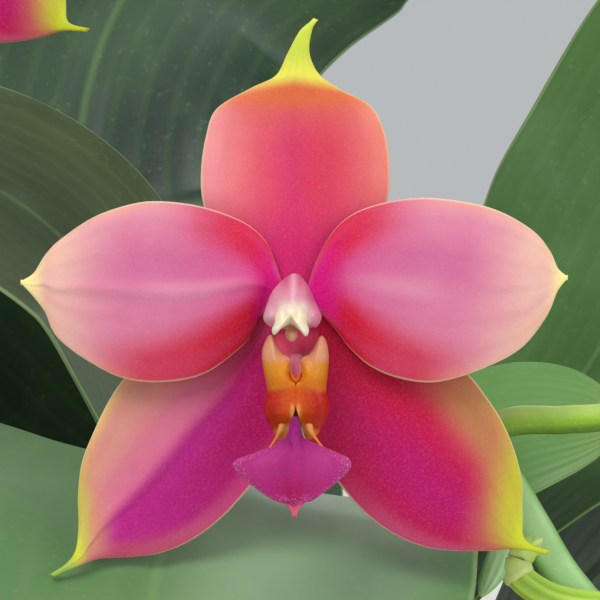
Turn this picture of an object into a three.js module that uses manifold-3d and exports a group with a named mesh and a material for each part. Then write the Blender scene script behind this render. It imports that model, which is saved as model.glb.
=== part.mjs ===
// A moth orchid growing in a clay pot: one star-shaped bloom held to the front, a second bloom
// above and behind it, buds, two flower spikes, fleshy arching leaves, aerial roots and bark mix.
// Millimetres, +Z up, the blooms face -Y, and the origin is the middle of the pot's base.
import * as THREE from "three";
import { mergeVertices } from "three/addons/utils/BufferGeometryUtils.js";
import Module from "manifold-3d";

const wasm = await Module();
wasm.setup();

// Driving dimensions
const GAP = 0.3;

const POT_HEIGHT = 108;
const POT_BASE_RADIUS = 42;
const POT_BODY_RADIUS = 54;
const POT_RIM_RADIUS = 60;
const POT_RIM_HEIGHT = 24;
const POT_WALL = 6;
const POT_FLOOR = 7;
const POT_SIDES = 32;
const DRAIN_RADIUS = 5;
const DRAIN_OFFSET = 20;
const DRAIN_COUNT = 3;

const BARK_TOP = 95;
const BARK_CHIPS = 30;
const BARK_CHIP = { long: 20, wide: 13, thick: 8 };
const HOLE_CLEARANCE = 0.5;

const STEM_BOTTOM = 84;
const STEM_TOP = 133;
const STEM_RADIUS = 8.5;
const STEM_RINGS = 5;
const STEM_RING_HEIGHT = 0.6;
const ROOT_RADIUS = 2.7;
const ROOT_SIDES = 6;

const LEAF_STEPS = 14;
const LEAF_WIDTH_STEPS = 6;
const LEAF_RIB_THICKNESS = 3.2;
const LEAF_EDGE_THICKNESS = 1.1;

const BLOOM_PLACE = [0, -72, 190];
const SECOND_BLOOM_PLACE = [-56, -38.5, 247];
const SECOND_BLOOM_TURN = [0.06, -0.12, -0.1];
const TEPAL_THICKNESS = 0.85;
const LOBE_THICKNESS = 0.9;
const MIDLOBE_THICKNESS = 1;
const COLUMN_SIDES = 14;
const SEPAL_DEPTH = 0.85;
const PETAL_DEPTH = -0.3;
const PEDICEL_END_DEPTH = 1.6;
const PEDICEL_RADIUS = 1.35;
const RACHIS_HALF_WIDTH = 2.1;
const RACHIS_HALF_THICKNESS = 1.3;
const PEDUNCLE_RADIUS = 2.3;
const BRACT = { radius: 3.1, length: 8.5, flatness: 0.62 };
const BUD_SIDES = 10;
const BUD_SLIMNESS = 0.34;

// Small helpers
const TURN = 2 * Math.PI;
const GOLDEN_ANGLE = Math.PI * (3 - Math.sqrt(5));
const vec = (x, y, z) => new THREE.Vector3(x, y, z);
const mix = THREE.MathUtils.lerp;
const ramp = THREE.MathUtils.smoothstep;
const curveThrough = (points) =>
  new THREE.CatmullRomCurve3(points.map((p) => vec(...p)), false, "centripetal");

function seededDraws(seed) {
  let state = seed;
  return () => {
    state = (state * 1664525 + 1013904223) % 4294967296;
    return state / 4294967296;
  };
}

// A closed geometry whose faces all point outwards, whichever way round they were listed.
function closedGeometry(positions, indices) {
  const corner = (k) => vec().fromArray(positions, 3 * indices[k]);
  let volume = 0;
  for (let k = 0; k < indices.length; k += 3) {
    volume += corner(k).dot(corner(k + 1).cross(corner(k + 2)));
  }
  const geometry = new THREE.BufferGeometry();
  geometry.setAttribute("position", new THREE.Float32BufferAttribute(positions, 3));
  geometry.setIndex(volume < 0 ? [...indices].reverse() : indices);
  return geometry;
}

function solidOf(geometry) {
  const bare = geometry.clone();
  bare.deleteAttribute("normal");
  bare.deleteAttribute("uv");
  const merged = mergeVertices(bare, 1e-4);
  return new wasm.Manifold(
    new wasm.Mesh({
      numProp: 3,
      vertProperties: new Float32Array(merged.attributes.position.array),
      triVerts: new Uint32Array(merged.index.array),
    }),
  );
}

function geometryOf(solid) {
  const mesh = solid.getMesh();
  const geometry = new THREE.BufferGeometry();
  geometry.setAttribute("position", new THREE.Float32BufferAttribute(mesh.vertProperties, 3));
  geometry.setIndex(new THREE.Uint32BufferAttribute(mesh.triVerts, 1));
  return geometry;
}

const join = (geometries) =>
  geometryOf(geometries.map(solidOf).reduce((whole, part) => whole.add(part)));

const cut = (geometry, tools) =>
  geometryOf(tools.map(solidOf).reduce((rest, tool) => rest.subtract(tool), solidOf(geometry)));

// The largest body of a solid, with any sealed hollow filled and any loose scrap dropped.
const largestBody = (geometry) =>
  geometryOf(
    solidOf(geometry)
      .decompose()
      .reduce((best, body) => (body.volume() > best.volume() ? body : best)),
  );

// A thin blade: pointAt(t, s, side) gives the upper face for side 1 and the lower one for side -1,
// with t from base to tip and s from -1 to 1 across. Both faces are split along the same diagonals.
function blade(lengthSteps, widthSteps, pointAt) {
  const across = widthSteps + 1;
  const layer = (lengthSteps + 1) * across;
  const positions = [];
  const indices = [];
  for (const side of [1, -1]) {
    for (let i = 0; i <= lengthSteps; i++) {
      for (let j = 0; j <= widthSteps; j++) {
        positions.push(...pointAt(i / lengthSteps, (2 * j) / widthSteps - 1, side));
      }
    }
  }
  const quad = (a, b, c, d) => indices.push(a, b, c, a, c, d);
  for (let i = 0; i < lengthSteps; i++) {
    for (let j = 0; j < widthSteps; j++) {
      const a = i * across + j;
      quad(a, a + across, a + across + 1, a + 1);
      indices.push(layer + a, layer + a + across + 1, layer + a + across);
      indices.push(layer + a, layer + a + 1, layer + a + across + 1);
    }
  }
  const rim = [];
  for (let j = 0; j < widthSteps; j++) rim.push(j);
  for (let i = 0; i < lengthSteps; i++) rim.push(i * across + widthSteps);
  for (let j = widthSteps; j > 0; j--) rim.push(lengthSteps * across + j);
  for (let i = lengthSteps; i > 0; i--) rim.push(i * across);
  rim.forEach((a, k) => {
    const b = rim[(k + 1) % rim.length];
    quad(a, b, layer + b, layer + a);
  });
  return closedGeometry(positions, indices);
}

// A closed skin over rings of equal point counts, with a fan at each end.
function loft(rings) {
  const sides = rings[0].length;
  const positions = rings.flat().flatMap((p) => p.toArray());
  const indices = [];
  for (let i = 0; i + 1 < rings.length; i++) {
    for (let j = 0; j < sides; j++) {
      const a = i * sides + j;
      const b = i * sides + ((j + 1) % sides);
      indices.push(a, b, b + sides, a, b + sides, a + sides);
    }
  }
  const last = (rings.length - 1) * sides;
  for (const [start, ring, flip] of [[0, rings[0], true], [last, rings.at(-1), false]]) {
    const centre = positions.length / 3;
    const middle = ring.reduce((sum, p) => sum.add(p), vec()).divideScalar(sides);
    positions.push(...middle.toArray());
    for (let j = 0; j < sides; j++) {
      const pair = [start + j, start + ((j + 1) % sides)];
      indices.push(...(flip ? pair.reverse() : pair), centre);
    }
  }
  return closedGeometry(positions, indices);
}

// A rod along a curve. reach(u, angle) gives its half sizes along the flat axis and across it.
function rod(points, steps, sides, reach, flatAxis = vec(0, 1, 0)) {
  const curve = curveThrough(points);
  const rings = [];
  for (let i = 0; i <= steps; i++) {
    const u = i / steps;
    const centre = curve.getPointAt(u);
    const across = curve.getTangentAt(u).cross(flatAxis).normalize();
    const deep = across.clone().cross(curve.getTangentAt(u)).normalize();
    const ring = [];
    for (let j = 0; j < sides; j++) {
      const angle = (TURN * j) / sides;
      const [wide, thick] = reach(u, angle);
      ring.push(
        centre
          .clone()
          .addScaledVector(across, wide * Math.cos(angle))
          .addScaledVector(deep, thick * Math.sin(angle)),
      );
    }
    rings.push(ring);
  }
  return loft(rings);
}

// Pot: tapered clay wall with a collar, a flat base and drain holes off the middle.
function potGeometry() {
  const collar = POT_HEIGHT - POT_RIM_HEIGHT;
  const profile = [
    [0, 0],
    [POT_BASE_RADIUS - 1.5, 0],
    [POT_BASE_RADIUS, 1.5],
    [POT_BODY_RADIUS, collar],
    [POT_RIM_RADIUS - 1, collar + 0.5],
    [POT_RIM_RADIUS, collar + 2.5],
    [POT_RIM_RADIUS, POT_HEIGHT - 2],
    [POT_RIM_RADIUS - 2, POT_HEIGHT],
    [POT_RIM_RADIUS - POT_WALL + 1, POT_HEIGHT],
    [POT_RIM_RADIUS - POT_WALL, POT_HEIGHT - 2],
    [POT_BASE_RADIUS - POT_WALL, POT_FLOOR],
    [0, POT_FLOOR],
  ].map(([r, z]) => new THREE.Vector2(r, z));
  const shell = new THREE.LatheGeometry(profile, POT_SIDES).rotateX(Math.PI / 2);
  const drains = Array.from({ length: DRAIN_COUNT }, (_, k) => {
    const angle = (TURN * (k + 0.25)) / DRAIN_COUNT;
    return new THREE.CylinderGeometry(DRAIN_RADIUS, DRAIN_RADIUS, 4 * POT_FLOOR, 16)
      .rotateX(Math.PI / 2)
      .translate(DRAIN_OFFSET * Math.cos(angle), DRAIN_OFFSET * Math.sin(angle), 0);
  });
  return cut(shell, drains);
}

const potInnerRadius = (z) => {
  const bottom = POT_BASE_RADIUS - POT_WALL;
  const top = POT_RIM_RADIUS - POT_WALL;
  return mix(bottom, top, (z - POT_FLOOR) / (POT_HEIGHT - 2 - POT_FLOOR));
};

// Stem: short and stout, ringed where older leaves sat, with thick roots grown out of its foot.
const ROOT_ROUTES = [
  [
    [-2, 4, 99], [-18, -6, 108], [-33, -19, 113.5], [-50, -29, 113.5], [-58, -34, 106], [-60, -36, 92],
    [-59, -35, 74],
  ],
  [[-2, 7, 97], [-19, 15, 104], [-33, 21, 103], [-39, 24, 91]],
  [[2, 5, 97], [20, -3, 103], [34, -10, 102], [42, -14, 91]],
  [[2, 8, 99], [18, 18, 107], [33, 30, 113], [46, 41, 113.5], [54, 47, 105], [56, 49, 90]],
  [[0, 8, 98], [-4, 24, 105], [-8, 34, 102], [-10, 38, 91]],
];
const rootReach = (extra) => (u) => {
  const radius = ROOT_RADIUS * mix(1.12, 0.82, u) + extra;
  return [radius, radius];
};
const rootRod = (route, extra) => {
  const [before, end] = route.slice(-2).map((p) => vec(...p));
  const beyond = end.clone().addScaledVector(end.clone().sub(before).normalize(), extra);
  const longer = [...route.slice(0, -1), beyond.toArray()];
  return rod(longer, 3 * route.length, ROOT_SIDES, rootReach(extra), vec(0.3, 0.2, 0.93));
};
const stemRod = (extra) =>
  rod([[0, 6, STEM_BOTTOM - extra], [0, 6, 108], [0, 7, STEM_TOP + extra]], 9, 12, (u) => {
    const ring = STEM_RING_HEIGHT * Math.sin(u * STEM_RINGS * Math.PI) ** 2;
    const girth = STEM_RADIUS * (1 - 0.35 * ramp(u, 0.75, 1)) + ring + extra;
    return [girth, 0.9 * girth];
  });
const stemAndRoots = () =>
  join([stemRod(0), ...ROOT_ROUTES.map((route) => rootRod(route, 0))]);

// Bark mix: fills the pot to below its rim, with tilted chips sunk in the top and plain holes
// round the stem and the roots.
function barkGeometry() {
  const foot = POT_FLOOR + GAP;
  const profile = [
    [0, foot],
    [potInnerRadius(foot) - 2 * GAP, foot],
    [potInnerRadius(BARK_TOP) - 2 * GAP, BARK_TOP],
    [0, BARK_TOP],
  ].map(([r, z]) => new THREE.Vector2(r, z));
  const fill = new THREE.LatheGeometry(profile, POT_SIDES).rotateX(Math.PI / 2);
  const draw = seededDraws(7);
  const reach = potInnerRadius(BARK_TOP) - 0.68 * BARK_CHIP.long;
  const chips = Array.from({ length: BARK_CHIPS }, (_, k) => {
    const radius = reach * Math.sqrt((k + 0.5) / BARK_CHIPS);
    const angle = GOLDEN_ANGLE * k;
    const size = mix(0.75, 1.1, draw());
    return new THREE.BoxGeometry(BARK_CHIP.long * size, BARK_CHIP.wide * size, BARK_CHIP.thick * size)
      .rotateX(mix(-0.5, 0.5, draw()))
      .rotateY(mix(-0.4, 0.4, draw()))
      .rotateZ(TURN * draw())
      .translate(radius * Math.cos(angle), radius * Math.sin(angle), BARK_TOP + mix(-1, 2.6, draw()));
  });
  const holes = [
    stemRod(HOLE_CLEARANCE),
    ...ROOT_ROUTES.map((route) => rootRod(route, HOLE_CLEARANCE)),
  ];
  return largestBody(cut(join([fill, ...chips]), holes));
}

// Leaves, youngest first: each follows a spine of hand-set points. face is the way its upper
// side looks at the base and at the tip, fold lifts the margins and wave ripples them.
const LEAVES = {
  leaf_right_young: {
    spine: [[1, 5, 127], [6, -2, 149], [17, -11, 165], [29, -17, 172.5], [42, -22, 174]],
    face: [[-0.3, 0.8, 0.3], [-0.05, -0.75, 0.65]],
    width: 27,
    fold: 2,
    wave: 0.4,
  },
  leaf_right_upper: {
    spine: [[5, 8, 124], [22, 10, 150], [44, 11, 184], [66, 10, 218], [86, 6, 245], [106, -2, 262]],
    face: [[-0.8, -0.25, 0.5], [-0.45, -0.85, 0.3]],
    width: 66,
    fold: 5,
    wave: 1.2,
  },
  leaf_back: {
    spine: [[3, 11, 122], [-9, 35, 160], [-34, 53, 205], [-24, 62, 244], [10, 60, 263], [44, 52, 262]],
    face: [[0.3, -0.9, 0.4], [0, -0.9, -0.35]],
    width: 70,
    fold: 4,
    wave: 1.3,
  },
  leaf_left_upper: {
    spine: [[-5, 7, 116], [-17, 9, 158], [-29, 9, 193], [-54, 7, 209], [-92, -4, 204], [-132, -18, 178]],
    face: [[0.8, -0.2, 0.4], [0, -0.35, 0.93]],
    width: 68,
    fold: 5,
    wave: 1.3,
  },
  leaf_right_middle: {
    spine: [[5, 5, 108], [26, 4, 134], [52, 3, 160], [82, -2, 182], [112, -12, 188], [140, -24, 176]],
    face: [[-0.7, 0.1, 0.7], [-0.1, -0.6, 0.8]],
    width: 70,
    fold: 5,
    wave: 1.4,
  },
  leaf_left_lower: {
    spine: [
      [-5, 5, 107], [-24, -5, 137], [-46, -14, 156], [-80, -27, 158], [-116, -42, 139], [-144, -54, 110],
    ],
    face: [[0.7, 0, 0.7], [-0.3, -0.3, 0.9]],
    width: 74,
    fold: 5,
    wave: 1.5,
  },
  leaf_front: {
    spine: [
      [1, 1, 104], [-2, -15, 140], [-8, -28, 163], [-13, -50, 167], [-17, -80, 150], [-21, -112, 118],
    ],
    face: [[0.05, 0.8, 0.5], [0.1, -0.55, 0.8]],
    width: 72,
    fold: 5,
    wave: 1.4,
  },
};

const leafHalfWidth = (u) => {
  const shoulder = 0.2 + 0.8 * ramp(u, 0.02, 0.5);
  const tip = u < 0.62 ? 1 : Math.sqrt(Math.max(0, 1 - ((u - 0.62) / 0.38) ** 2.2));
  return shoulder * tip;
};

function leafGeometry({ spine, face, width, fold, wave }, extra = 0) {
  const curve = curveThrough(spine);
  const faces = face.map((f) => vec(...f));
  return blade(LEAF_STEPS, LEAF_WIDTH_STEPS, (t, s, side) => {
    const u = 1 - (1 - t) ** 1.15;
    const tangent = curve.getTangentAt(u);
    const wanted = faces[0].clone().lerp(faces[1], ramp(u, 0, 0.75));
    const up = wanted.addScaledVector(tangent, -wanted.dot(tangent)).normalize();
    const across = tangent.clone().cross(up);
    const half = Math.max(1.2, (width / 2) * leafHalfWidth(u)) + extra;
    const lift = fold * s * s * (1.1 - u) * Math.min(1, (3 * half) / width);
    const ripple = wave * s * s * Math.sin(TURN * 1.7 * u + 2 * s) * ramp(u, 0.15, 0.4);
    const taper = 1 - 0.55 * ramp(u, 0.6, 1);
    const rib = side < 0 ? 0.8 * Math.exp(-((s / 0.2) ** 2)) * taper : 0;
    const thickness = mix(LEAF_RIB_THICKNESS, LEAF_EDGE_THICKNESS, s * s) * taper + 2 * extra;
    const beyond = t === 0 ? -extra : extra * Math.floor(t);
    return curve
      .getPointAt(u)
      .addScaledVector(tangent, beyond)
      .addScaledVector(across, half * s)
      .addScaledVector(up, lift + ripple + side * (thickness / 2 + rib));
  });
}

// What grows round the stem keeps a narrow gap to it, to the roots and to the leaves inside it.
const stemAndRootSpace = [stemRod(GAP), ...ROOT_ROUTES.map((route) => rootRod(route, GAP))];
const leafSpace = Object.values(LEAVES).map((leaf) => leafGeometry(leaf, GAP));
const clearOf = (geometry, spaces) => largestBody(cut(geometry, [...stemAndRootSpace, ...spaces]));

// Bloom outlines, seen from the front with X right and Z up from the column's foot. Each sepal
// and petal has two edges of matching points from its base to its drawn-out tip.
const TEPALS = {
  dorsal_sepal: {
    edges: [
      [[-1.3, 1.1], [-6.1, 4.2], [-9.1, 7.5], [-10.3, 11], [-10.5, 14.3], [-10, 18], [-8.8, 21.2],
        [-5.1, 23.4], [-2.2, 24.8], [-0.8, 27.3], [0.6, 29.7], [2.3, 30.9]],
      [[1.3, 1.1], [6.1, 4.2], [9.1, 7.5], [10.2, 10.8], [10.5, 14.2], [10, 18.3], [8.4, 21.5],
        [4.8, 23.4], [2.5, 25.1], [1.5, 27.3], [1.7, 29.3], [2.3, 30.9]],
    ],
    layer: "sepal",
  },
  petal_left: {
    edges: [
      [[-1.2, 1.1], [-2.3, 4.3], [-3.4, 6.6], [-5.8, 8.6], [-10.1, 10.2], [-14.3, 10.8], [-17.6, 10.6],
        [-21.9, 9.2], [-25.6, 6.8], [-27.4, 5], [-28.7, 3], [-30.3, 2]],
      [[-1.7, -0.4], [-3.9, -1.7], [-4.7, -3.3], [-5.8, -5], [-9.8, -8], [-14.3, -9], [-18.8, -8.6],
        [-22.9, -6.6], [-26.1, -4.1], [-27.4, -1.4], [-28.7, 0.3], [-30.3, 2]],
    ],
    layer: "petal",
  },
  petal_right: {
    edges: [
      [[1.2, 1.1], [2.3, 4.3], [4.2, 7.6], [6.6, 9.6], [10.3, 10.8], [14.6, 11.2], [19.4, 10.6],
        [22.9, 9.5], [26.2, 7.5], [27.9, 5.4], [28.8, 3.5], [30, 2.5]],
      [[1.7, -0.5], [3.3, -2], [4.7, -3.6], [5.9, -5.2], [8.1, -7.2], [11.4, -8.6], [15.4, -9],
        [20.1, -7.7], [24.6, -5.4], [27.4, -2], [28.7, 0.9], [30, 2.5]],
    ],
    layer: "petal",
  },
  lateral_sepal_left: {
    edges: [
      [[-1, -0.9], [-5.5, -2], [-10.5, -3.5], [-15.4, -5.8], [-18.9, -8.6], [-20.8, -11.3], [-22.4, -14.6],
        [-23.7, -18], [-24.1, -21.6], [-24, -25.3], [-24.5, -28.2], [-27, -30.4]],
      [[-0.4, -1.4], [-0.6, -5.7], [-1, -10.5], [-2.2, -15.2], [-4.6, -19.8], [-8, -24], [-11.6, -26.7],
        [-15.1, -28.1], [-18.7, -28.5], [-21.7, -28.6], [-23.7, -29.2], [-27, -30.4]],
    ],
    layer: "sepal",
  },
  lateral_sepal_right: {
    edges: [
      [[1.4, -0.9], [5.5, -2], [10.5, -3.5], [15.4, -5.7], [19, -8.1], [20.8, -10.2], [22.8, -13.2],
        [24.3, -16.7], [25.1, -20.2], [25.1, -23.7], [25.3, -26.4], [27.9, -27.8]],
      [[0.4, -1.4], [0.7, -5.7], [1.2, -10.5], [2.5, -15.2], [4.5, -19.6], [7.4, -23.4], [10.7, -25.9],
        [14.3, -27.4], [17.9, -27.8], [21.5, -27.7], [24.5, -27.4], [27.9, -27.8]],
    ],
    layer: "sepal",
  },
};

// Petals lie in front and swell forwards, sepals lie behind and sweep a little back.
const TEPAL_DEPTH = {
  petal: (t, s) => PETAL_DEPTH + (1.1 * s * s - 2) * Math.sin(Math.PI * t) ** 2,
  sepal: (t, s) => {
    const sweep = (1.2 + 0.9 * s * s) * Math.sin(Math.PI * t) ** 1.5;
    return SEPAL_DEPTH + sweep - 1.6 * ramp(t, 0.75, 1);
  },
};

const edgeCurve = (points) => new THREE.SplineCurve(points.map(([x, z]) => new THREE.Vector2(x, z)));

// A blade between two outline edges of the front view, at depthAt(t, s) from the viewer's side.
function outlineBlade([first, second], lengthSteps, widthSteps, depthAt, thicknessAt) {
  const edges = [edgeCurve(first), edgeCurve(second)];
  return blade(lengthSteps, widthSteps, (t, s, side) => {
    const along = 0.99 * t;
    const [a, b] = edges.map((edge) => edge.getPoint(along));
    const half = b.clone().sub(a).multiplyScalar(0.5);
    if (half.length() < 0.3) half.setLength(0.3);
    const flat = a.clone().add(b).multiplyScalar(0.5).addScaledVector(half, s);
    return vec(flat.x, depthAt(t, s) - (side * thicknessAt(t, s)) / 2, flat.y);
  });
}

const tepalGeometry = ({ edges, layer }, lengthSteps, widthSteps) =>
  outlineBlade(edges, lengthSteps, widthSteps, TEPAL_DEPTH[layer], (t, s) =>
    TEPAL_THICKNESS * (1 - 0.25 * s * s),
  );

// Column: an upright helmet on the bloom's middle, swelling forwards, with the cap at its front.
const COLUMN_SECTIONS = [
  { depth: -1.1, wide: 2, top: 2.3, bottom: -2.2 },
  { depth: -3, wide: 2.4, top: 2.7, bottom: -2.6 },
  { depth: -5.2, wide: 2.8, top: 2.9, bottom: -3 },
  { depth: -7.4, wide: 3.1, top: 2.4, bottom: -3.2 },
];
const CAP_SECTIONS = [
  { depth: -7.7, wide: 2.6, top: 2, bottom: -3.2 },
  { depth: -8.8, wide: 2.5, top: 1.4, bottom: -3.6 },
  { depth: -9.8, wide: 1.9, top: 0.4, bottom: -3.6 },
  { depth: -10.4, wide: 0.8, top: -0.9, bottom: -2.9 },
];
const helmet = (sections) =>
  loft(
    sections.map(({ depth, wide, top, bottom }) =>
      Array.from({ length: COLUMN_SIDES }, (_, k) => {
        const angle = (TURN * k) / COLUMN_SIDES;
        const height = Math.sin(angle);
        const pinch = 1 - 0.3 * Math.max(0, height);
        return vec(
          wide * pinch * Math.cos(angle),
          depth,
          (top + bottom) / 2 + ((top - bottom) / 2) * height,
        );
      }),
    ),
  );

// Lip: two upright side lobes like cupped hands, a callus between them ending in two whiskers,
// and a kite-shaped middle lobe with a keel.
const SIDE_LOBE_EDGES = [
  [[-2.9, -4], [-3.5, -5.9], [-3.3, -8], [-3, -10.2], [-3.4, -12.2], [-2.5, -13.4]],
  [[-2.3, -4.3], [-0.8, -6.1], [-0.35, -8], [-0.35, -9.8], [-0.6, -11.4], [-1.75, -13]],
];
const MIDLOBE_EDGES = [
  [[-0.6, -13.7], [-3.1, -15.7], [-6.9, -17.9], [-5.2, -20.1], [-2.5, -21.8], [-0.5, -23.9]],
  [[0.3, -13.7], [2.6, -15.7], [6.1, -17.9], [4.7, -19.8], [1.9, -21.8], [-0.1, -23.9]],
];
const mirrored = (edges) => edges.map((edge) => edge.map(([x, z]) => [-x, z]));
const sideLobeDepth = (t, s) => {
  const inwards = (1 + s) / 2;
  return -4.2 - 3.4 * Math.sin((Math.PI / 2) * inwards) - 1.2 * Math.sin(Math.PI * t);
};
const midlobeDepth = (t, s) => {
  const keel = (1 - Math.abs(s)) * Math.sin(Math.PI * Math.min(1, t + 0.15));
  return -8.2 - 2.4 * t - 1.5 * keel;
};

const sideLobe = (edges, steps) =>
  outlineBlade(edges, steps, steps / 2, sideLobeDepth, () => LOBE_THICKNESS);
const midlobe = (steps) =>
  outlineBlade(MIDLOBE_EDGES, steps, steps - 2, midlobeDepth, () => MIDLOBE_THICKNESS);
const callus = () => {
  const body = rod(
    [[0, -1.7, -3.1], [0, -3.4, -6.2], [0, -4.6, -9.6], [-0.1, -7.3, -12.9]],
    5,
    8,
    (u) => [mix(1.7, 0.7, u), 0.6],
    vec(0, 0.8, -0.6),
  );
  const whiskers = [-1, 1].map((side) =>
    rod(
      [[0.4 * side, -6.8, -12.4], [1.2 * side, -9.2, -13.6], [2.6 * side - 0.1, -10.6, -16.3]],
      4,
      6,
      (u) => [mix(0.6, 0.3, u), mix(0.5, 0.3, u)],
      vec(0, 0.8, -0.6),
    ),
  );
  return join([body, ...whiskers]);
};

function bloomGeometries(lengthSteps, widthSteps, lipSteps) {
  const tepals = Object.entries(TEPALS).map(([name, tepal]) => [
    name,
    tepalGeometry(tepal, lengthSteps, widthSteps),
  ]);
  return Object.fromEntries([
    ...tepals,
    ["column", helmet(COLUMN_SECTIONS)],
    ["anther_cap", helmet(CAP_SECTIONS)],
    ["lip_side_lobe_left", sideLobe(SIDE_LOBE_EDGES, lipSteps)],
    ["lip_side_lobe_right", sideLobe(mirrored(SIDE_LOBE_EDGES), lipSteps)],
    ["lip_callus", callus()],
    ["lip_midlobe", midlobe(lipSteps)],
  ]);
}

// The second bloom is one solid: the same pieces joined through a core behind the column.
function secondBloomGeometry() {
  const core = new THREE.CylinderGeometry(1.9, 1.9, 10, 8).translate(0, -3.8, 0);
  const lipCore = rod([[0, -4, -2.5], [0, -6.6, -8], [0, -8.6, -15]], 4, 6, () => [0.9, 0.9]);
  return join([...Object.values(bloomGeometries(7, 4, 4)), core, lipCore]);
}

// Flower spikes: a round stalk that flattens into a zigzag rachis with a bract at each turn, and
// the ridged flower stalks that grow out of it.
const bloomPoint = ([x, y, z], [dx, dy, dz]) => [x + dx, y + dy, z + dz];
const stalkReach = (from, to) => (u) => [mix(from, to, u), mix(from, to, u)];
const ridgedReach = (radius) => (u, angle) => {
  const ridge = 1 + 0.13 * Math.cos(6 * angle) * Math.sin(Math.PI * Math.min(1, u + 0.15));
  return [radius * ridge, radius * ridge];
};
const bract = (place, turn) =>
  new THREE.ConeGeometry(BRACT.radius, BRACT.length, 8, 1)
    .scale(1, 1, BRACT.flatness)
    .rotateX(Math.PI / 2)
    .rotateX(turn[0])
    .rotateY(turn[1])
    .rotateZ(turn[2])
    .translate(...place);

const RIGHT_BEND = [19.5, -58.2, 175.2];
const RIGHT_UPPER_STALK = [
  [20.5, -58.2, 174.4], [25, -58.4, 176], [31, -58, 176.2], [37.5, -57, 177], [47.5, -55, 183],
];
const RIGHT_LOWER_STALK = [
  [29, -57.4, 161.5], [26.2, -58.6, 159.4], [31.5, -59.6, 156], [40, -58.4, 155.4], [48.5, -56.5, 160],
];

function rightSpike() {
  const peduncle = rod(
    [[4, 1, 104], [20, -25, 112], [35, -44, 124], [43, -54, 137], [40.5, -57, 147], [34, -57.2, 154.5]],
    13,
    8,
    stalkReach(PEDUNCLE_RADIUS, RACHIS_HALF_WIDTH),
    vec(0.4, 0.3, -0.85),
  );
  const rachis = rod(
    [[36, -57.2, 152], [30.6, -57.2, 158.6], [27.4, -57.4, 164], [23.4, -58, 170.5], RIGHT_BEND],
    8,
    8,
    () => [RACHIS_HALF_WIDTH, RACHIS_HALF_THICKNESS],
  );
  const upper = rod(RIGHT_UPPER_STALK, 10, 8, stalkReach(1.7, 1.45));
  const lower = rod(RIGHT_LOWER_STALK, 11, 12, ridgedReach(1.1 * PEDICEL_RADIUS));
  const pedicelEnd = bloomPoint(BLOOM_PLACE, [0, PEDICEL_END_DEPTH, 0]);
  const pedicel = rod(
    [RIGHT_BEND, [12.5, -57, 179], [5.5, -59.5, 184.5], [0.8, -65, 189.2], pedicelEnd],
    10,
    12,
    ridgedReach(PEDICEL_RADIUS),
    vec(0, 0.35, 0.94),
  );
  const parts = [
    peduncle,
    rachis,
    upper,
    lower,
    pedicel,
    bract([26, -57.6, 159.6], [0.2, -2.5, 0]),
    bract([35.8, -57, 177.6], [0, 1.1, 0]),
    bract([41, -57, 145], [0.3, 0.3, 0]),
  ];
  return clearOf(join(parts), leafSpace);
}

const LEFT_RACHIS = [
  [-69, -36, 206], [-71, -25, 222], [-67, -22.5, 240], [-71.5, -22, 254], [-67, -22, 267],
];

function leftSpike() {
  const peduncle = rod(
    [
      [-3, 2, 103], [-16, -22, 112], [-34, -45, 120], [-51, -60, 137], [-60, -61, 160], [-65, -53, 186],
      [-69.3, -34.5, 208],
    ],
    18,
    8,
    stalkReach(PEDUNCLE_RADIUS, RACHIS_HALF_WIDTH),
    vec(0.35, 0.3, -0.88),
  );
  const rachis = rod(LEFT_RACHIS, 11, 8, (u) => [
    mix(RACHIS_HALF_WIDTH, RACHIS_HALF_THICKNESS, u),
    RACHIS_HALF_THICKNESS,
  ]);
  const turn = new THREE.Euler(...SECOND_BLOOM_TURN);
  const inBloom = (x, y, z) => vec(x, y, z).applyEuler(turn).add(vec(...SECOND_BLOOM_PLACE)).toArray();
  const pedicel = rod(
    [[-67, -22.5, 240], [-61.5, -21, 243], inBloom(-1, 8, -1), inBloom(0, PEDICEL_END_DEPTH, 0)],
    9,
    12,
    ridgedReach(PEDICEL_RADIUS),
    vec(0, 0.35, 0.94),
  );
  const parts = [
    peduncle,
    rachis,
    pedicel,
    bract([-68, -22.5, 240], [0, 0.9, 0]),
    bract([-71.5, -22, 254], [0, -0.7, 0]),
  ];
  return clearOf(join(parts), leafSpace);
}

// Buds: plump, keeled and pointed, just clear of the end of their stalks.
function budGeometry(stalk, length) {
  const axis = curveThrough(stalk).getTangentAt(1);
  const reaches = [0.3, 0.78, 1, 0.95, 0.68, 0.3, 0.08];
  const start = vec(...stalk.at(-1)).addScaledVector(axis, GAP);
  const side = axis.clone().cross(vec(0, 1, 0)).normalize();
  const deep = side.clone().cross(axis);
  return loft(
    reaches.map((reach, i) => {
      const centre = start.clone().addScaledVector(axis, (length * i) / (reaches.length - 1));
      return Array.from({ length: BUD_SIDES }, (_, k) => {
        const angle = (TURN * k) / BUD_SIDES;
        const girth = BUD_SLIMNESS * length * reach * (1 + 0.06 * Math.cos(5 * angle));
        return centre
          .clone()
          .addScaledVector(side, girth * Math.cos(angle))
          .addScaledVector(deep, 0.9 * girth * Math.sin(angle));
      });
    }),
  );
}

// Materials
const paint = (color, roughness) => new THREE.MeshStandardMaterial({ color, roughness, metalness: 0 });
const PAINTS = {
  clay: paint(0xb5663f, 0.9),
  bark: paint(0x6d4a30, 0.95),
  root: paint(0x9aa68c, 0.8),
  leaf: paint(0x4f7a3c, 0.4),
  stalk: paint(0x8fb24a, 0.5),
  bud: paint(0xb7c46a, 0.5),
  petal: paint(0xd46a92, 0.45),
  sepal: paint(0xc8285e, 0.45),
  column: paint(0xe6a9c4, 0.4),
  cap: paint(0xf3ecc8, 0.45),
  lobe: paint(0xd98a10, 0.45),
  midlobe: paint(0xa62880, 0.5),
};

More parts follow.
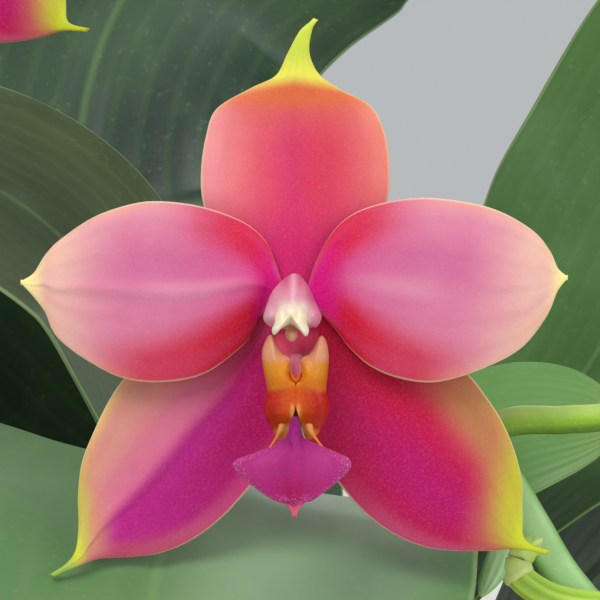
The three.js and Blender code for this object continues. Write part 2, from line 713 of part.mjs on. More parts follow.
const BLOOM_PAINTS = {
  dorsal_sepal: "sepal",
  petal_left: "petal",
  petal_right: "petal",
  lateral_sepal_left: "sepal",
  lateral_sepal_right: "sepal",
  column: "column",
  anther_cap: "cap",
  lip_side_lobe_left: "lobe",
  lip_side_lobe_right: "lobe",
  lip_callus: "lobe",
  lip_midlobe: "midlobe",
};

// Assembly
const plant = new THREE.Group();

function addMesh(parent, name, geometry, paintName) {
  const mesh = new THREE.Mesh(geometry, PAINTS[paintName].clone());
  mesh.name = name;
  parent.add(mesh);
}

addMesh(plant, "pot", potGeometry(), "clay");
addMesh(plant, "bark_mix", barkGeometry(), "bark");
addMesh(plant, "stem_and_roots", stemAndRoots(), "root");
Object.entries(LEAVES).forEach(([name, leaf], k) => {
  addMesh(plant, name, clearOf(leafGeometry(leaf), leafSpace.slice(0, k)), "leaf");
});
addMesh(plant, "spike_right", rightSpike(), "stalk");
addMesh(plant, "spike_left", leftSpike(), "stalk");
addMesh(plant, "bud_right_upper", budGeometry(RIGHT_UPPER_STALK, 13), "bud");
addMesh(plant, "bud_right_lower", budGeometry(RIGHT_LOWER_STALK, 15), "bud");
addMesh(plant, "bud_left", budGeometry(LEFT_RACHIS, 14), "bud");

const bloom = new THREE.Group();
bloom.position.set(...BLOOM_PLACE);
for (const [name, geometry] of Object.entries(bloomGeometries(14, 6, 8))) {
  addMesh(bloom, name, geometry, BLOOM_PAINTS[name]);
}
plant.add(bloom);

const secondBloom = new THREE.Group();
secondBloom.position.set(...SECOND_BLOOM_PLACE);
secondBloom.rotation.set(...SECOND_BLOOM_TURN);
addMesh(secondBloom, "second_bloom", secondBloomGeometry(), "sepal");
plant.add(secondBloom);

export default plant;
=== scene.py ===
import math

import bmesh
import bpy
import numpy as np
from mathutils import Euler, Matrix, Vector


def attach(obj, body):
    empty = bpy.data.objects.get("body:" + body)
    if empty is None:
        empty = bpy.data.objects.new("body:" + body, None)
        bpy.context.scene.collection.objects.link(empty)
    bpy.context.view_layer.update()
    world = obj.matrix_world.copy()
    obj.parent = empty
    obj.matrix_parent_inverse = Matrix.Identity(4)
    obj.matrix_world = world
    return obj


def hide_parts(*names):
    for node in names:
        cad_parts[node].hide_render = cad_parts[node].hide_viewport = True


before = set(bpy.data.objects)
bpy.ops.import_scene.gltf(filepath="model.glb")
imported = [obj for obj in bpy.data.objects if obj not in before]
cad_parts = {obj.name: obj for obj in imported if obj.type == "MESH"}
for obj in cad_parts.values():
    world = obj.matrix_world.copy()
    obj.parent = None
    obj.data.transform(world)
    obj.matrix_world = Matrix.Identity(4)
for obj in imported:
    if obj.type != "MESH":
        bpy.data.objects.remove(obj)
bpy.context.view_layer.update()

# A moth orchid in a clay pot. Millimetres in the tables and metres in the meshes; the bloom
# faces -Y, and its outlines are given from the front, X right and Z up from the column's foot.
MM = 0.001
TURN = 2 * math.pi
BLOOM_PLACE = np.array([0.0, -72.0, 190.0])
SECOND_BLOOM_PLACE = np.array([-56.0, -38.5, 247.0])
SECOND_BLOOM_TURN = (0.06, -0.12, -0.1)
# From the bloom's front plane to the camera, and the width that the frame shows there
VIEW_DISTANCE = 300
FRAME_WIDTH = 66


# Helpers for numbers and arrays
def ramp(x, low, high):
    x = np.clip((np.asarray(x, float) - low) / (high - low), 0, 1)
    return x * x * (3 - 2 * x)


def lerp(a, b, k):
    return a + (b - a) * k


def bump(x, centre, width):
    return np.exp(-(((x - centre) / width) ** 2))


def unit(v):
    return v / np.maximum(np.linalg.norm(v, axis=-1, keepdims=True), 1e-12)


def hashed(cells, seed):
    c = cells.astype(np.int64)
    h = c[..., 0] * 374761393 + c[..., 1] * 668265263 + c[..., 2] * 2147483647 + seed * 974711
    h = (h ^ (h >> 13)) * 1274126177
    h = h ^ (h >> 16)
    return (h & 0xFFFFFF) / float(0xFFFFFF)


def noise(points, size, seed=0):
    """Smooth value noise from -1 to 1 over points, with cells of that size."""
    p = np.asarray(points, float) / size
    base = np.floor(p)
    f = p - base
    f = f * f * (3 - 2 * f)
    total = 0.0
    for dx in (0, 1):
        for dy in (0, 1):
            for dz in (0, 1):
                weight = (
                    (f[..., 0] if dx else 1 - f[..., 0])
                    * (f[..., 1] if dy else 1 - f[..., 1])
                    * (f[..., 2] if dz else 1 - f[..., 2])
                )
                total = total + weight * hashed(base + np.array([dx, dy, dz]), seed)
    return 2 * total - 1


def seeded_draws(seed):
    state = [seed]

    def draw():
        state[0] = (state[0] * 1664525 + 1013904223) % 4294967296
        return state[0] / 4294967296

    return draw


class Curve:
    """A centripetal Catmull-Rom curve through points, read at even steps of its length."""

    def __init__(self, points, steps=60):
        p = np.array(points, float)
        p = np.vstack([2 * p[0] - p[1], p, 2 * p[-1] - p[-2]])
        w = np.linspace(0, 1, steps, endpoint=False)[:, None]
        places = []
        for i in range(1, len(p) - 2):
            x0, x1, x2, x3 = p[i - 1 : i + 3]
            d0, d1, d2 = (math.sqrt(np.linalg.norm(b - a)) for a, b in ((x0, x1), (x1, x2), (x2, x3)))
            m1 = ((x1 - x0) / d0 - (x2 - x0) / (d0 + d1) + (x2 - x1) / d1) * d1
            m2 = ((x2 - x1) / d1 - (x3 - x1) / (d1 + d2) + (x3 - x2) / d2) * d1
            places.append(
                x1 + m1 * w + (3 * (x2 - x1) - 2 * m1 - m2) * w**2 + (2 * (x1 - x2) + m1 + m2) * w**3
            )
        self.places = np.vstack(places + [p[-2][None]])
        steps_long = np.linalg.norm(np.diff(self.places, axis=0), axis=1)
        self.run = np.concatenate([[0], np.cumsum(steps_long)])
        self.length = self.run[-1]
        self.run /= self.length
        self.ways = unit(np.gradient(self.places, self.run, axis=0))

    def read(self, table, u):
        u = np.asarray(u, float)
        return np.stack([np.interp(u, self.run, table[:, k]) for k in range(table.shape[1])], axis=-1)

    def at(self, u):
        return self.read(self.places, u)

    def way(self, u):
        return unit(self.read(self.ways, u))


def between(p0, p1, p2, p3, w):
    """The place at w from p1 to p2 on a uniform Catmull-Rom line."""
    v0, v1 = (p2 - p0) / 2, (p3 - p1) / 2
    return (2 * p1 - 2 * p2 + v0 + v1) * w**3 + (3 * p2 - 3 * p1 - 2 * v0 - v1) * w**2 + v0 * w + p1


def edge_at(points, t):
    """An open line through flat points, at t from 0 to 1."""
    p = np.array(points, float)
    x = np.clip(np.asarray(t, float), 0, 1) * (len(p) - 1)
    i = np.clip(np.floor(x).astype(int), 0, len(p) - 2)
    before, after = np.maximum(i - 1, 0), np.minimum(i + 2, len(p) - 1)
    return between(p[before], p[i], p[i + 1], p[after], (x - i)[..., None])


# Meshes
def make_piece(name, points, faces, material, attributes=(), slot=None, replaces=()):
    """A piece from points in millimetres. attributes are (name, one value or colour a point)."""
    mesh = bpy.data.meshes.new(name)
    mesh.from_pydata((np.asarray(points) * MM).tolist(), [], faces)
    for label, values in attributes:
        values = np.asarray(values, np.float32)
        if values.ndim == 1:
            mesh.attributes.new(label, "FLOAT", "POINT").data.foreach_set("value", values)
        else:
            flat = np.column_stack([values, np.ones(len(values))]).astype(np.float32).ravel()
            mesh.attributes.new(label, "FLOAT_COLOR", "POINT").data.foreach_set("color", flat)
    mesh.polygons.foreach_set("use_smooth", [True] * len(mesh.polygons))
    mesh.update()
    piece = bpy.data.objects.new(name, mesh)
    bpy.context.scene.collection.objects.link(piece)
    mesh.materials.append(material)
    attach(piece, "root")
    if replaces:
        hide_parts(*replaces)
    return piece


def grid_faces(rows, columns, closed=False):
    across = columns if closed else columns - 1
    i, j = np.meshgrid(np.arange(rows - 1), np.arange(across), indexing="ij")
    a = i * columns + j
    b = i * columns + (j + 1) % columns
    return np.stack([a, b, b + columns, a + columns], axis=-1).reshape(-1, 4)


def tube_faces(rows, sides):
    """Faces round rows of points, with a flat face at each end."""
    last = (rows - 1) * sides
    ends = [list(range(sides))[::-1], list(range(last, last + sides))]
    return grid_faces(rows, sides, closed=True).tolist() + ends


def blade_parts(middle, thickness, top=0.0, under=0.0):
    """Points and faces of a closed sheet round a grid of middle points. Both skins share the rim.
    top and under push each skin out along its own normal."""
    rows, columns = middle.shape[:2]
    normal = unit(np.cross(np.gradient(middle, axis=1), np.gradient(middle, axis=0)))
    inner = np.zeros((rows, columns), bool)
    inner[1:-1, 1:-1] = True
    upper = middle + normal * ((thickness / 2 + top) * inner)[..., None]
    lower = middle - normal * ((thickness / 2 + under) * inner)[..., None]
    index_up = np.arange(rows * columns).reshape(rows, columns)
    index_low = index_up.copy()
    index_low[inner] = rows * columns + np.arange(inner.sum())
    points = np.vstack([upper.reshape(-1, 3), lower[inner]])

    def quads(index, turned):
        a, b, c, d = index[:-1, :-1], index[:-1, 1:], index[1:, 1:], index[1:, :-1]
        order = (a, d, c, b) if turned else (a, b, c, d)
        return np.stack(order, axis=-1).reshape(-1, 4)

    faces = np.vstack([quads(index_up, False), quads(index_low, True)])

    def spread(values, low_values=None):
        values = np.broadcast_to(values, (rows, columns))
        low = values if low_values is None else np.broadcast_to(low_values, (rows, columns))
        return np.concatenate([values.ravel(), low[inner]])

    return points, faces, spread


def rounded(columns):
    """Steps from -1 to 1 that crowd towards both ends, where the rim is round."""
    x = np.linspace(-1, 1, columns)
    return 0.35 * x + 0.65 * np.sin(x * math.pi / 2)


def rod_parts(curve, rows, sides, reach, flat_axis=(0, 1, 0), shape=lambda u: u):
    """Points and faces round a curve; reach(u, angle) gives half sizes in millimetres."""
    u = shape(np.linspace(0, 1, rows))
    way = curve.way(u)
    across = unit(np.cross(way, np.array(flat_axis, float)))
    deep = unit(np.cross(across, way))
    uu, aa = np.meshgrid(u, np.arange(sides) * TURN / sides, indexing="ij")
    wide, thick = (np.broadcast_to(size, uu.shape) for size in reach(uu, aa))
    points = (
        curve.at(u)[:, None]
        + across[:, None] * (wide * np.cos(aa))[..., None]
        + deep[:, None] * (thick * np.sin(aa))[..., None]
    )
    return points.reshape(-1, 3), tube_faces(rows, sides), {"u": uu.ravel(), "angle": aa.ravel()}


def gather(parts):
    """One mesh from several (points, faces, {name: values})."""
    points, faces, start = [], [], 0
    values = {label: [] for label in parts[0][2]}
    for p, f, v in parts:
        points.append(p)
        faces += [[start + k for k in face] for face in (f.tolist() if hasattr(f, "tolist") else f)]
        for label in values:
            values[label].append(np.asarray(v[label], float))
        start += len(p)
    return np.vstack(points), faces, {label: np.concatenate(v) for label, v in values.items()}


def skin_values(spread, tint, **numbers):
    """Attributes of a blade's two skins: plain numbers and the tint."""
    plain = [(name, spread(values)) for name, values in numbers.items()]
    return plain + [("tint", np.column_stack([spread(tint[..., k]) for k in range(3)]))]


def linear(tint):
    """A linear colour from a display colour written as 0xRRGGBB."""
    c = np.array([tint >> 16, tint >> 8 & 255, tint & 255]) / 255
    return np.where(c <= 0.04045, c / 12.92, ((c + 0.055) / 1.055) ** 2.4)


def paint(base, *layers):
    """Colours a point: base, then (0xRRGGBB, strength at each point) laid over it in turn."""
    result = np.array(linear(base) if isinstance(base, int) else base, float)
    for tint, strength in layers:
        k = np.clip(np.asarray(strength, float), 0, 1)[..., None]
        result = result * (1 - k) + linear(tint) * k
    return result


# Materials
class Nodes:
    """Short calls for building one material's node tree."""

    def __init__(self, name):
        self.material = bpy.data.materials.new(name)
        self.material.use_nodes = True
        self.tree = self.material.node_tree
        self.shader = self.tree.nodes["Principled BSDF"]
        self.place = self.add("ShaderNodeTexCoord", "Object")

    def add(self, kind, out, inputs=None, **settings):
        """An output of a new node with these inputs and settings."""
        node = self.tree.nodes.new(kind)
        for key, value in settings.items():
            setattr(node, key, value)
        for key, value in (inputs or {}).items():
            self.put(node.inputs[key], value)
        return node.outputs[out]

    def put(self, socket, value):
        """Links a socket or sets its value; whole numbers are colours."""
        if isinstance(value, bpy.types.NodeSocket):
            self.tree.links.new(value, socket)
        else:
            socket.default_value = (*linear(value), 1) if isinstance(value, int) else value

    def math(self, operation, a, b=0.0):
        return self.add("ShaderNodeMath", 0, {0: a, 1: b}, operation=operation)

    def plus(self, a, b):
        return self.math("ADD", a, b)

    def times(self, a, b):
        return self.math("MULTIPLY", a, b)

    def attribute(self, name, out="Fac"):
        return self.add("ShaderNodeAttribute", out, attribute_name=name)

    def stretched(self, scale):
        return self.add("ShaderNodeMapping", 0, {"Vector": self.place, "Scale": scale})

    def noise(self, scale, detail=3.0, vector=None, distortion=0.0):
        place = self.place if vector is None else vector
        inputs = {"Vector": place, "Scale": scale, "Detail": detail, "Distortion": distortion}
        return self.add("ShaderNodeTexNoise", "Fac", inputs)

    def cells(self, scale):
        return self.add("ShaderNodeTexVoronoi", "Distance", {"Vector": self.place, "Scale": scale})

    def span(self, value, low, high, to_low=0.0, to_high=1.0):
        inputs = {"Value": value, "From Min": low, "From Max": high, "To Min": to_low, "To Max": to_high}
        return self.add("ShaderNodeMapRange", 0, inputs, interpolation_type="SMOOTHSTEP")

    def mix(self, strength, a, b, blend="MIX"):
        return self.add("ShaderNodeMix", 2, {0: strength, 6: a, 7: b}, data_type="RGBA", blend_type=blend)

    def lay(self, base, tint, value, low, high, most=1.0):
        """base with tint over it, rising to its most as value goes from low to high."""
        return self.mix(self.span(value, low, high, 0.0, most), base, tint)

    def stain(self, base, tint, value, low, high, most):
        """As lay, but the tint multiplies the base."""
        return self.lay(base, self.mix(1.0, base, tint, "MULTIPLY"), value, low, high, most)

    def relief(self, height, strength, distance, below=None):
        inputs = {"Strength": strength, "Distance": distance, "Height": height}
        if below is not None:
            inputs["Normal"] = below
        return self.add("ShaderNodeBump", 0, inputs)

    def finish(self, base, roughness, normal=None, **constants):
        self.put(self.shader.inputs["Base Color"], base)
        self.put(self.shader.inputs["Roughness"], roughness)
        if normal is not None:
            self.put(self.shader.inputs["Normal"], normal)
        for key, value in constants.items():
            self.shader.inputs[key.replace("_", " ")].default_value = value
        return self.material


# Bloom: outlines of sepals and petals from base to tip, two edges each
TEPALS = {
    "dorsal_sepal": (
        [[-1.3, 1.1], [-6.1, 4.2], [-9.1, 7.5], [-10.3, 11], [-10.5, 14.3], [-10, 18], [-8.8, 21.2],
         [-5.1, 23.4], [-2.2, 24.8], [-0.8, 27.3], [0.6, 29.7], [2.3, 30.9]],
        [[1.3, 1.1], [6.1, 4.2], [9.1, 7.5], [10.2, 10.8], [10.5, 14.2], [10, 18.3], [8.4, 21.5],
         [4.8, 23.4], [2.5, 25.1], [1.5, 27.3], [1.7, 29.3], [2.3, 30.9]],
    ),
    "petal_left": (
        [[-1.2, 1.1], [-2.3, 4.3], [-3.4, 6.6], [-5.8, 8.6], [-10.1, 10.2], [-14.3, 10.8], [-17.6, 10.6],
         [-21.9, 9.2], [-25.6, 6.8], [-27.4, 5], [-28.7, 3], [-30.3, 2]],
        [[-1.7, -0.4], [-3.9, -1.7], [-4.7, -3.3], [-5.8, -5], [-9.8, -8], [-14.3, -9], [-18.8, -8.6],
         [-22.9, -6.6], [-26.1, -4.1], [-27.4, -1.4], [-28.7, 0.3], [-30.3, 2]],
    ),
    "petal_right": (
        [[1.2, 1.1], [2.3, 4.3], [4.2, 7.6], [6.6, 9.6], [10.3, 10.8], [14.6, 11.2], [19.4, 10.6],
         [22.9, 9.5], [26.2, 7.5], [27.9, 5.4], [28.8, 3.5], [30, 2.5]],
        [[1.7, -0.5], [3.3, -2], [4.7, -3.6], [5.9, -5.2], [8.1, -7.2], [11.4, -8.6], [15.4, -9],
         [20.1, -7.7], [24.6, -5.4], [27.4, -2], [28.7, 0.9], [30, 2.5]],
    ),
    "lateral_sepal_left": (
        [[-1, -0.9], [-5.5, -2], [-10.5, -3.5], [-15.4, -5.8], [-18.9, -8.6], [-20.8, -11.3], [-22.4, -14.6],
         [-23.7, -18], [-24.1, -21.6], [-24, -25.3], [-24.5, -28.2], [-27, -30.4]],
        [[-0.4, -1.4], [-0.6, -5.7], [-0.75, -10.5], [-0.8, -15.2], [-4.3, -19.8], [-8, -24], [-11.6, -26.7],
         [-15.1, -28.1], [-18.7, -28.5], [-21.7, -28.6], [-23.7, -29.2], [-27, -30.4]],
    ),
    "lateral_sepal_right": (
        [[1.4, -0.9], [5.5, -2], [10.5, -3.5], [15.4, -5.7], [19, -8.1], [20.8, -10.2], [22.8, -13.2],
         [24.3, -16.7], [25.1, -20.2], [25.1, -23.7], [25.3, -26.4], [27.9, -27.8]],
        [[0.4, -1.4], [0.7, -5.7], [0.85, -10.5], [0.9, -15.2], [4.2, -19.6], [7.4, -23.4], [10.7, -25.9],
         [14.3, -27.4], [17.9, -27.8], [21.5, -27.7], [24.5, -27.4], [27.9, -27.8]],
    ),
}
TEPAL_THICKNESS = 0.85
DOME_BACK_RINGS = 10


def petal_depth(t, s):
    return -0.3 + (1.1 * s * s - 2) * np.sin(math.pi * t) ** 2


def sepal_depth(t, s):
    sweep = (1.2 + 0.9 * s * s) * np.sin(math.pi * t) ** 1.5
    return 0.85 + sweep - 1.6 * ramp(t, 0.75, 1)


def front_grid(edges, t, s, depth):
    """Points between two outline edges seen from the front, at a depth behind the front plane."""
    first, second = edge_at(edges[0], 0.992 * t), edge_at(edges[1], 0.992 * t)
    half = (second - first) / 2
    size = np.linalg.norm(half, axis=-1, keepdims=True)
    half = half * np.maximum(1, 0.28 / np.maximum(size, 1e-6))
    flat = (first + second) / 2 + half * s[..., None]
    return np.stack([flat[..., 0], depth, flat[..., 1]], axis=-1)


def paint_dorsal(x, z, t, s):
    side = np.abs(s)
    return paint(
        0xE67078,
        (0xF0A6A6, 0.8 * bump(s, -1, 0.42) * bump(t, 0.42, 0.25)),
        (0xEC967A, 0.8 * bump(s, 1, 0.38) * bump(t, 0.48, 0.25)),
        (0xD63A5E, 0.9 * bump(s, 0.08, 0.66) * ramp(t, 0.72, 0.4)),
        (0xCE2C4A, 0.5 * bump(s, 0.3, 0.4) * bump(t, 0.36, 0.2)),
        (0xCC2E78, 0.4 * bump(s, -0.05, 0.2) * bump(t, 0.36, 0.26)),
        (0xCA1A68, 0.95 * ramp(t, 0.34, 0.1)),
        (0xD6604C, 0.75 * bump(t, 0.6, 0.1) * ramp(side, 1, 0.5)),
        (0xDA703C, 0.8 * ramp(z - 0.05 * side, 20.4, 22.6)),
        (0xE8E65A, ramp(z + 0.17 * np.abs(x), 23.5, 25.2)),
        (0xE6CE74, 0.8 * ramp(side, 0.88, 1) * bump(t, 0.66, 0.1)),
        (0xD8F054, 0.85 * ramp(z, 25, 28)),
    )


def paint_petal(x, z, t, s):
    """s is -1 on the upper edge and 1 on the lower one."""
    side = np.abs(s)
    streak = noise(np.stack([9 * t, 5 * s, 0 * s], -1), 1.0, 3)
    low_band = ramp(s - 0.88 * t, -0.12, 0.34) * ramp(t, 0.06, 0.16) * ramp(t, 0.68, 0.48)
    high_band = ramp(-s - 1.2 * t, -0.12, 0.28) * ramp(t, 0.06, 0.16) * ramp(t, 0.48, 0.28)
    return paint(
        0xD47A9E,
        (0xDE94A6, 0.6 * ramp(side, 0.3, 0.95)),
        (0xC66294, 0.55 * bump(s, -0.3, 0.35) * bump(t, 0.44, 0.2)),
        (0xECA890, 0.75 * ramp(side, 0.8, 1) * ramp(t, 0.35, 0.6)),
        (0xE8BAAC, 0.95 * ramp(t, 0.54, 0.78)),
        (0xF0C29C, 0.7 * ramp(t, 0.64, 0.84) * ramp(side, 0.2, 0.9)),
        (0xD02880, 0.85 * ramp(t, 0.5, 0.14)),
        (0xE0A0B8, 0.5 * bump(s, 0.0, 0.1) * bump(t, 0.42, 0.16)),
        (0xCE2448, 0.92 * high_band),
        (0xD20E3C, 0.75 * high_band * bump(t, 0.2, 0.12)),
        (0xCC2C4E, 0.92 * low_band),
        (0xC8082E, 0.95 * low_band * bump(t, 0.27, 0.14)),
        (0xD40880, 0.98 * ramp(t, 0.29, 0.1) * ramp(side, 0.97, 0.55)),
        (0xC8548E, 0.14 * ramp(streak, 0.1, 0.8)),
        (0xF4DEA0, 0.95 * ramp(t, 0.8, 0.9)),
        (0xF8EA96, ramp(t, 0.9, 0.96)),
    )


def paint_lateral_left(x, z, t, s):
    """s is -1 on the outer edge and 1 on the inner one."""
    return paint(
        0xD67290,
        (0xD09280, 0.9 * ramp(s, -0.2, -0.75) * ramp(t, 0.1, 0.35)),
        (0xDCBA68, 0.85 * ramp(s, -0.82, -1) * ramp(t, 0.2, 0.5)),
        (0xBA1686, 0.96 * ramp(s, -0.2, 0.12) * ramp(s, 1.0, 0.7)),
        (0xAA0458, 0.8 * ramp(s, 0.1, 0.5) * bump(t, 0.28, 0.2)),
        (0xCE3084, 0.7 * ramp(s, 0.72, 0.97) * ramp(t, 0.62, 0.4)),
        (0xC44E6E, 0.85 * ramp(s - 1.4 * (1 - t), 0.0, 0.35)),
        (0xB60258, 0.85 * ramp(t, 0.4, 0.12)),
        (0xD49074, 0.9 * ramp(t - 0.12 * s, 0.64, 0.8)),
        (0xC2BE50, 0.95 * ramp(t - 0.2 * s, 0.76, 0.93)),
        (0xCED238, 0.95 * ramp(t - 0.05 * s, 0.84, 0.93)),
        (0x98BA52, ramp(t, 0.9, 0.96)),
    )


def paint_lateral_right(x, z, t, s):
    """s is -1 on the outer edge and 1 on the inner one."""
    return paint(
        0xB80E4A,
        (0xC84E58, 0.7 * ramp(s, -0.1, -0.5) * ramp(t, 0.25, 0.5)),
        (0xB67E4E, 0.95 * ramp(s, -0.28, -0.7) * ramp(t, 0.2, 0.45)),
        (0xCCA44E, 0.8 * ramp(s, -0.82, -1) * ramp(t, 0.4, 0.6)),
        (0xC80438, 0.8 * bump(s, -0.15, 0.36) * bump(t, 0.3, 0.22)),
        (0xB4086A, 0.95 * bump(s, 0.25, 0.38) * bump(t, 0.52, 0.24)),
        (0xBE023C, 0.85 * ramp(t, 0.3, 0.1)),
        (0xC4527C, 0.75 * ramp(s, 0.66, 0.96) * ramp(t, 0.3, 0.55)),
        (0xBE6E52, 0.85 * ramp(t - 0.12 * s, 0.6, 0.76)),
        (0xBABA2E, 0.95 * ramp(t - 0.16 * s, 0.67, 0.85)),
        (0xBECC26, 0.97 * ramp(t - 0.06 * s, 0.82, 0.92)),
    )


def petal_material(name):
    n = Nodes(name)
    tint = n.attribute("tint", "Color")
    wash = n.noise(330.0, 4.0)
    fine = n.noise(4200.0, 2.0)
    sparkle = n.cells(8600.0)
    # Soft lengthwise veins, wandering a little
    lane = n.times(n.attribute("across"), 17.0)
    wander = n.times(n.noise(320.0, 2.0), 2.2)
    vein = n.math("SINE", n.plus(lane, n.plus(wander, n.times(n.attribute("along"), 1.5))))
    base = n.stain(tint, 0xECBCD6, wash, 0.35, 0.7, 0.14)
    base = n.stain(base, 0xE296BE, vein, 0.2, 1.0, 0.07)
    # Painted sparkle: pale flecks and points laid into the colour as glints
    paler = n.mix(1.0, base, 0x685C60, "SCREEN")
    base = n.lay(base, paler, fine, 0.45, 0.72, 0.2)
    base = n.lay(base, paler, sparkle, 0.34, 0.12, 0.16)
    base = n.lay(base, 0xF6DEB2, n.attribute("rim"), 0.965, 1.0, 0.75)
    height = n.plus(n.times(fine, 0.5), n.times(sparkle, 0.8))
    normal = n.relief(height, 0.3, 0.0001)
    normal = n.relief(vein, 0.03, 0.0002, normal)
    rough = n.span(wash, 0.2, 0.8, 0.41, 0.54)
    return n.finish(
        base, rough, normal, Subsurface_Weight=0.16, Subsurface_Radius=(0.9, 0.35, 0.4),
        Subsurface_Scale=0.0014, Specular_IOR_Level=0.14, Sheen_Weight=0.02, Sheen_Roughness=0.4,
    )


def place_bloom(points, spot):
    origin, turn = spot
    rotation = np.array(Euler(turn).to_matrix())
    return points @ rotation.T + origin


# Place and turn of each bloom
FIRST = (BLOOM_PLACE, (0, 0, 0))
SECOND = (SECOND_BLOOM_PLACE, SECOND_BLOOM_TURN)


def tepal(name, node, depth, painter, spot, rows, columns, slot, replaces, seed):
    t, s = np.meshgrid(np.linspace(0, 1, rows) ** 0.95, rounded(columns), indexing="ij")
    middle = front_grid(TEPALS[node], t, s, depth(t, s))
    # A keel behind, low veins and a gently uneven skin
    swell = np.sin(math.pi * t)
    veins = 0.002 * np.sin(15 * s + 0.6 * noise(middle, 5, seed)) * swell
    skin = 0.05 * noise(middle, 5.5, seed + 1) + 0.010 * noise(middle, 0.9, seed + 2)
    round_rim = 0.25 + 0.75 * np.sqrt(np.clip(1 - np.abs(s) ** 6, 0, 1))
    thick = TEPAL_THICKNESS * round_rim * (1 - 0.25 * s * s)
    keel = 0.35 * bump(s, 0, 0.08) * swell
    points, faces, spread = blade_parts(middle, thick, veins + skin * swell, keel - veins)
    tint = painter(middle[..., 0], middle[..., 2], t, s)
    rim = np.maximum(np.abs(s), ramp(t, 0.985, 1.0) * 0.999)
    values = skin_values(spread, tint, along=t, across=s, rim=rim)
    return make_piece(name, place_bloom(points, spot), faces, TEPAL_LOOK, values, slot, replaces)


def closed_line(points, count):
    """A smooth closed line through flat points, evenly read."""
    p = np.array(points, float)
    n = len(p)
    x = np.linspace(0, n, 40 * n, endpoint=False)
    i = np.floor(x).astype(int)
    line = between(p[(i - 1) % n], p[i % n], p[(i + 1) % n], p[(i + 2) % n], (x - i)[:, None])
    line = np.vstack([line, line[:1]])
    run = np.concatenate([[0], np.cumsum(np.linalg.norm(np.diff(line, axis=0), axis=1))])
    u = np.linspace(0, run[-1], count, endpoint=False)
    return np.column_stack([np.interp(u, run, line[:, k]) for k in range(2)])


def dome_parts(outline, centre, y_rim, y_top, y_back, relief, rings, power):
    """A dome seen from the front inside a closed outline, with a rounded back."""
    line, centre = np.array(outline, float), np.array(centre, float)
    r = np.sin(np.linspace(0.03, 1, rings) * math.pi / 2)
    front = centre + r[:, None, None] * (line[None] - centre)
    rise = (1 - r**2) ** power
    y_front = np.broadcast_to((y_rim + (y_top - y_rim) * rise)[:, None], front.shape[:2]).copy()
    if relief is not None:
        y_front = relief(front[..., 0], front[..., 1], y_front, np.broadcast_to(r[:, None], y_front.shape))
    q = np.sin(np.linspace(1, 0.03, DOME_BACK_RINGS) * math.pi / 2)[1:]
    back = centre + q[:, None, None] * (line[None] - centre)
    y_behind = np.broadcast_to((y_rim + (y_back - y_rim) * np.sqrt(1 - q**2))[:, None], back.shape[:2])
    flat = np.concatenate([front, back])
    y = np.concatenate([y_front, y_behind])
    points = np.stack([flat[..., 0], y, flat[..., 1]], axis=-1).reshape(-1, 3)
    return points, tube_faces(len(flat), len(line))


# Column, cap and lip: outlines seen from the front
COLUMN = [
    [-0.11, 2.92], [0.66, 2.53], [1.43, 1.43], [1.98, 0.33], [2.53, -0.88], [2.86, -1.98], [2.31, -2.97],
    [1.21, -3.19], [-0.22, -3.3], [-1.54, -3.19], [-2.75, -2.97], [-3.52, -2.09], [-3.19, -0.66],
    [-2.64, 0.77], [-1.87, 1.76], [-0.99, 2.53],
]
CAP = [
    [-0.5, 0.35], [0.35, 0.1], [0.95, -0.7], [1.28, -1.7], [1.3, -2.6], [1.5, -3.35], [1.15, -4.0],
    [0.5, -3.35], [-0.03, -2.85], [-0.48, -2.5], [-0.95, -2.8], [-1.6, -3.2], [-2.3, -3.85],
    [-2.6, -3.35], [-2.3, -2.5], [-2.2, -1.7], [-1.75, -0.6], [-1.2, 0.1],
]
BEAK = [[-1.1, -3.41], [-0.55, -3.08], [0.11, -3.3], [0.28, -3.96], [-0.33, -4.57], [-0.99, -4.18]]
CAVITY = [
    [-2.31, -3.3], [-1.1, -2.86], [1.1, -2.86], [2.31, -3.3], [2.53, -4.95], [1.54, -6.27], [0.66, -7.04],
    [-0.55, -7.04], [-1.54, -6.27], [-2.53, -4.95],
]
LOBE_LEFT = [
    [-2.6, -3.85], [-2.28, -4.5], [-1.95, -5.2], [-1.45, -5.85], [-0.9, -6.2], [-0.58, -6.6], [-0.55, -7.3],
    [-0.5, -8.1], [-0.2, -8.8], [0.05, -9.6], [0.07, -10.6], [0.04, -11.5], [-0.12, -12.3],
    [-0.42, -13.2], [-0.75, -14.2], [-1.2, -15.3], [-1.95, -15.1], [-2.75, -14.0], [-3.35, -12.8],
    [-3.5, -11.7], [-3.3, -10.8], [-3.12, -9.9], [-3.3, -8.8], [-3.55, -7.4], [-3.68, -6.3], [-3.62, -5.4],
    [-3.3, -4.5], [-2.95, -3.9],
]
LOBE_RIGHT = [
    [2.75, -3.95], [2.35, -4.6], [2.0, -5.3], [1.5, -5.9], [0.98, -6.2], [0.66, -6.6], [0.62, -7.3],
    [0.56, -8.1], [0.26, -8.8], [0.02, -9.6], [0.0, -10.6], [0.02, -11.5], [0.2, -12.3], [0.48, -13.2],
    [0.8, -14.2], [1.3, -15.3], [2.1, -15.1], [2.95, -14.0], [3.55, -12.7], [3.75, -11.5],
    [3.6, -10.7], [3.4, -9.9], [3.5, -8.7], [3.62, -7.4], [3.68, -6.3], [3.6, -5.4], [3.4, -4.6], [3.1, -4.0],
]
CALLUS_V = [
    [-0.71, -7.87], [-0.33, -8.09], [0.06, -8.47], [0.44, -8.09], [0.77, -7.87], [0.71, -8.69],
    [0.28, -9.4], [-0.17, -9.4], [-0.6, -8.69],
]
CLAW = [
    [-0.99, -6.2], [0.99, -6.2], [1.2, -9.2], [1.54, -11.0], [1.32, -12.54], [0.55, -14.08],
    [0.06, -13.31], [-0.44, -14.08], [-1.21, -12.54], [-1.54, -11.0], [-1.2, -9.2],
]
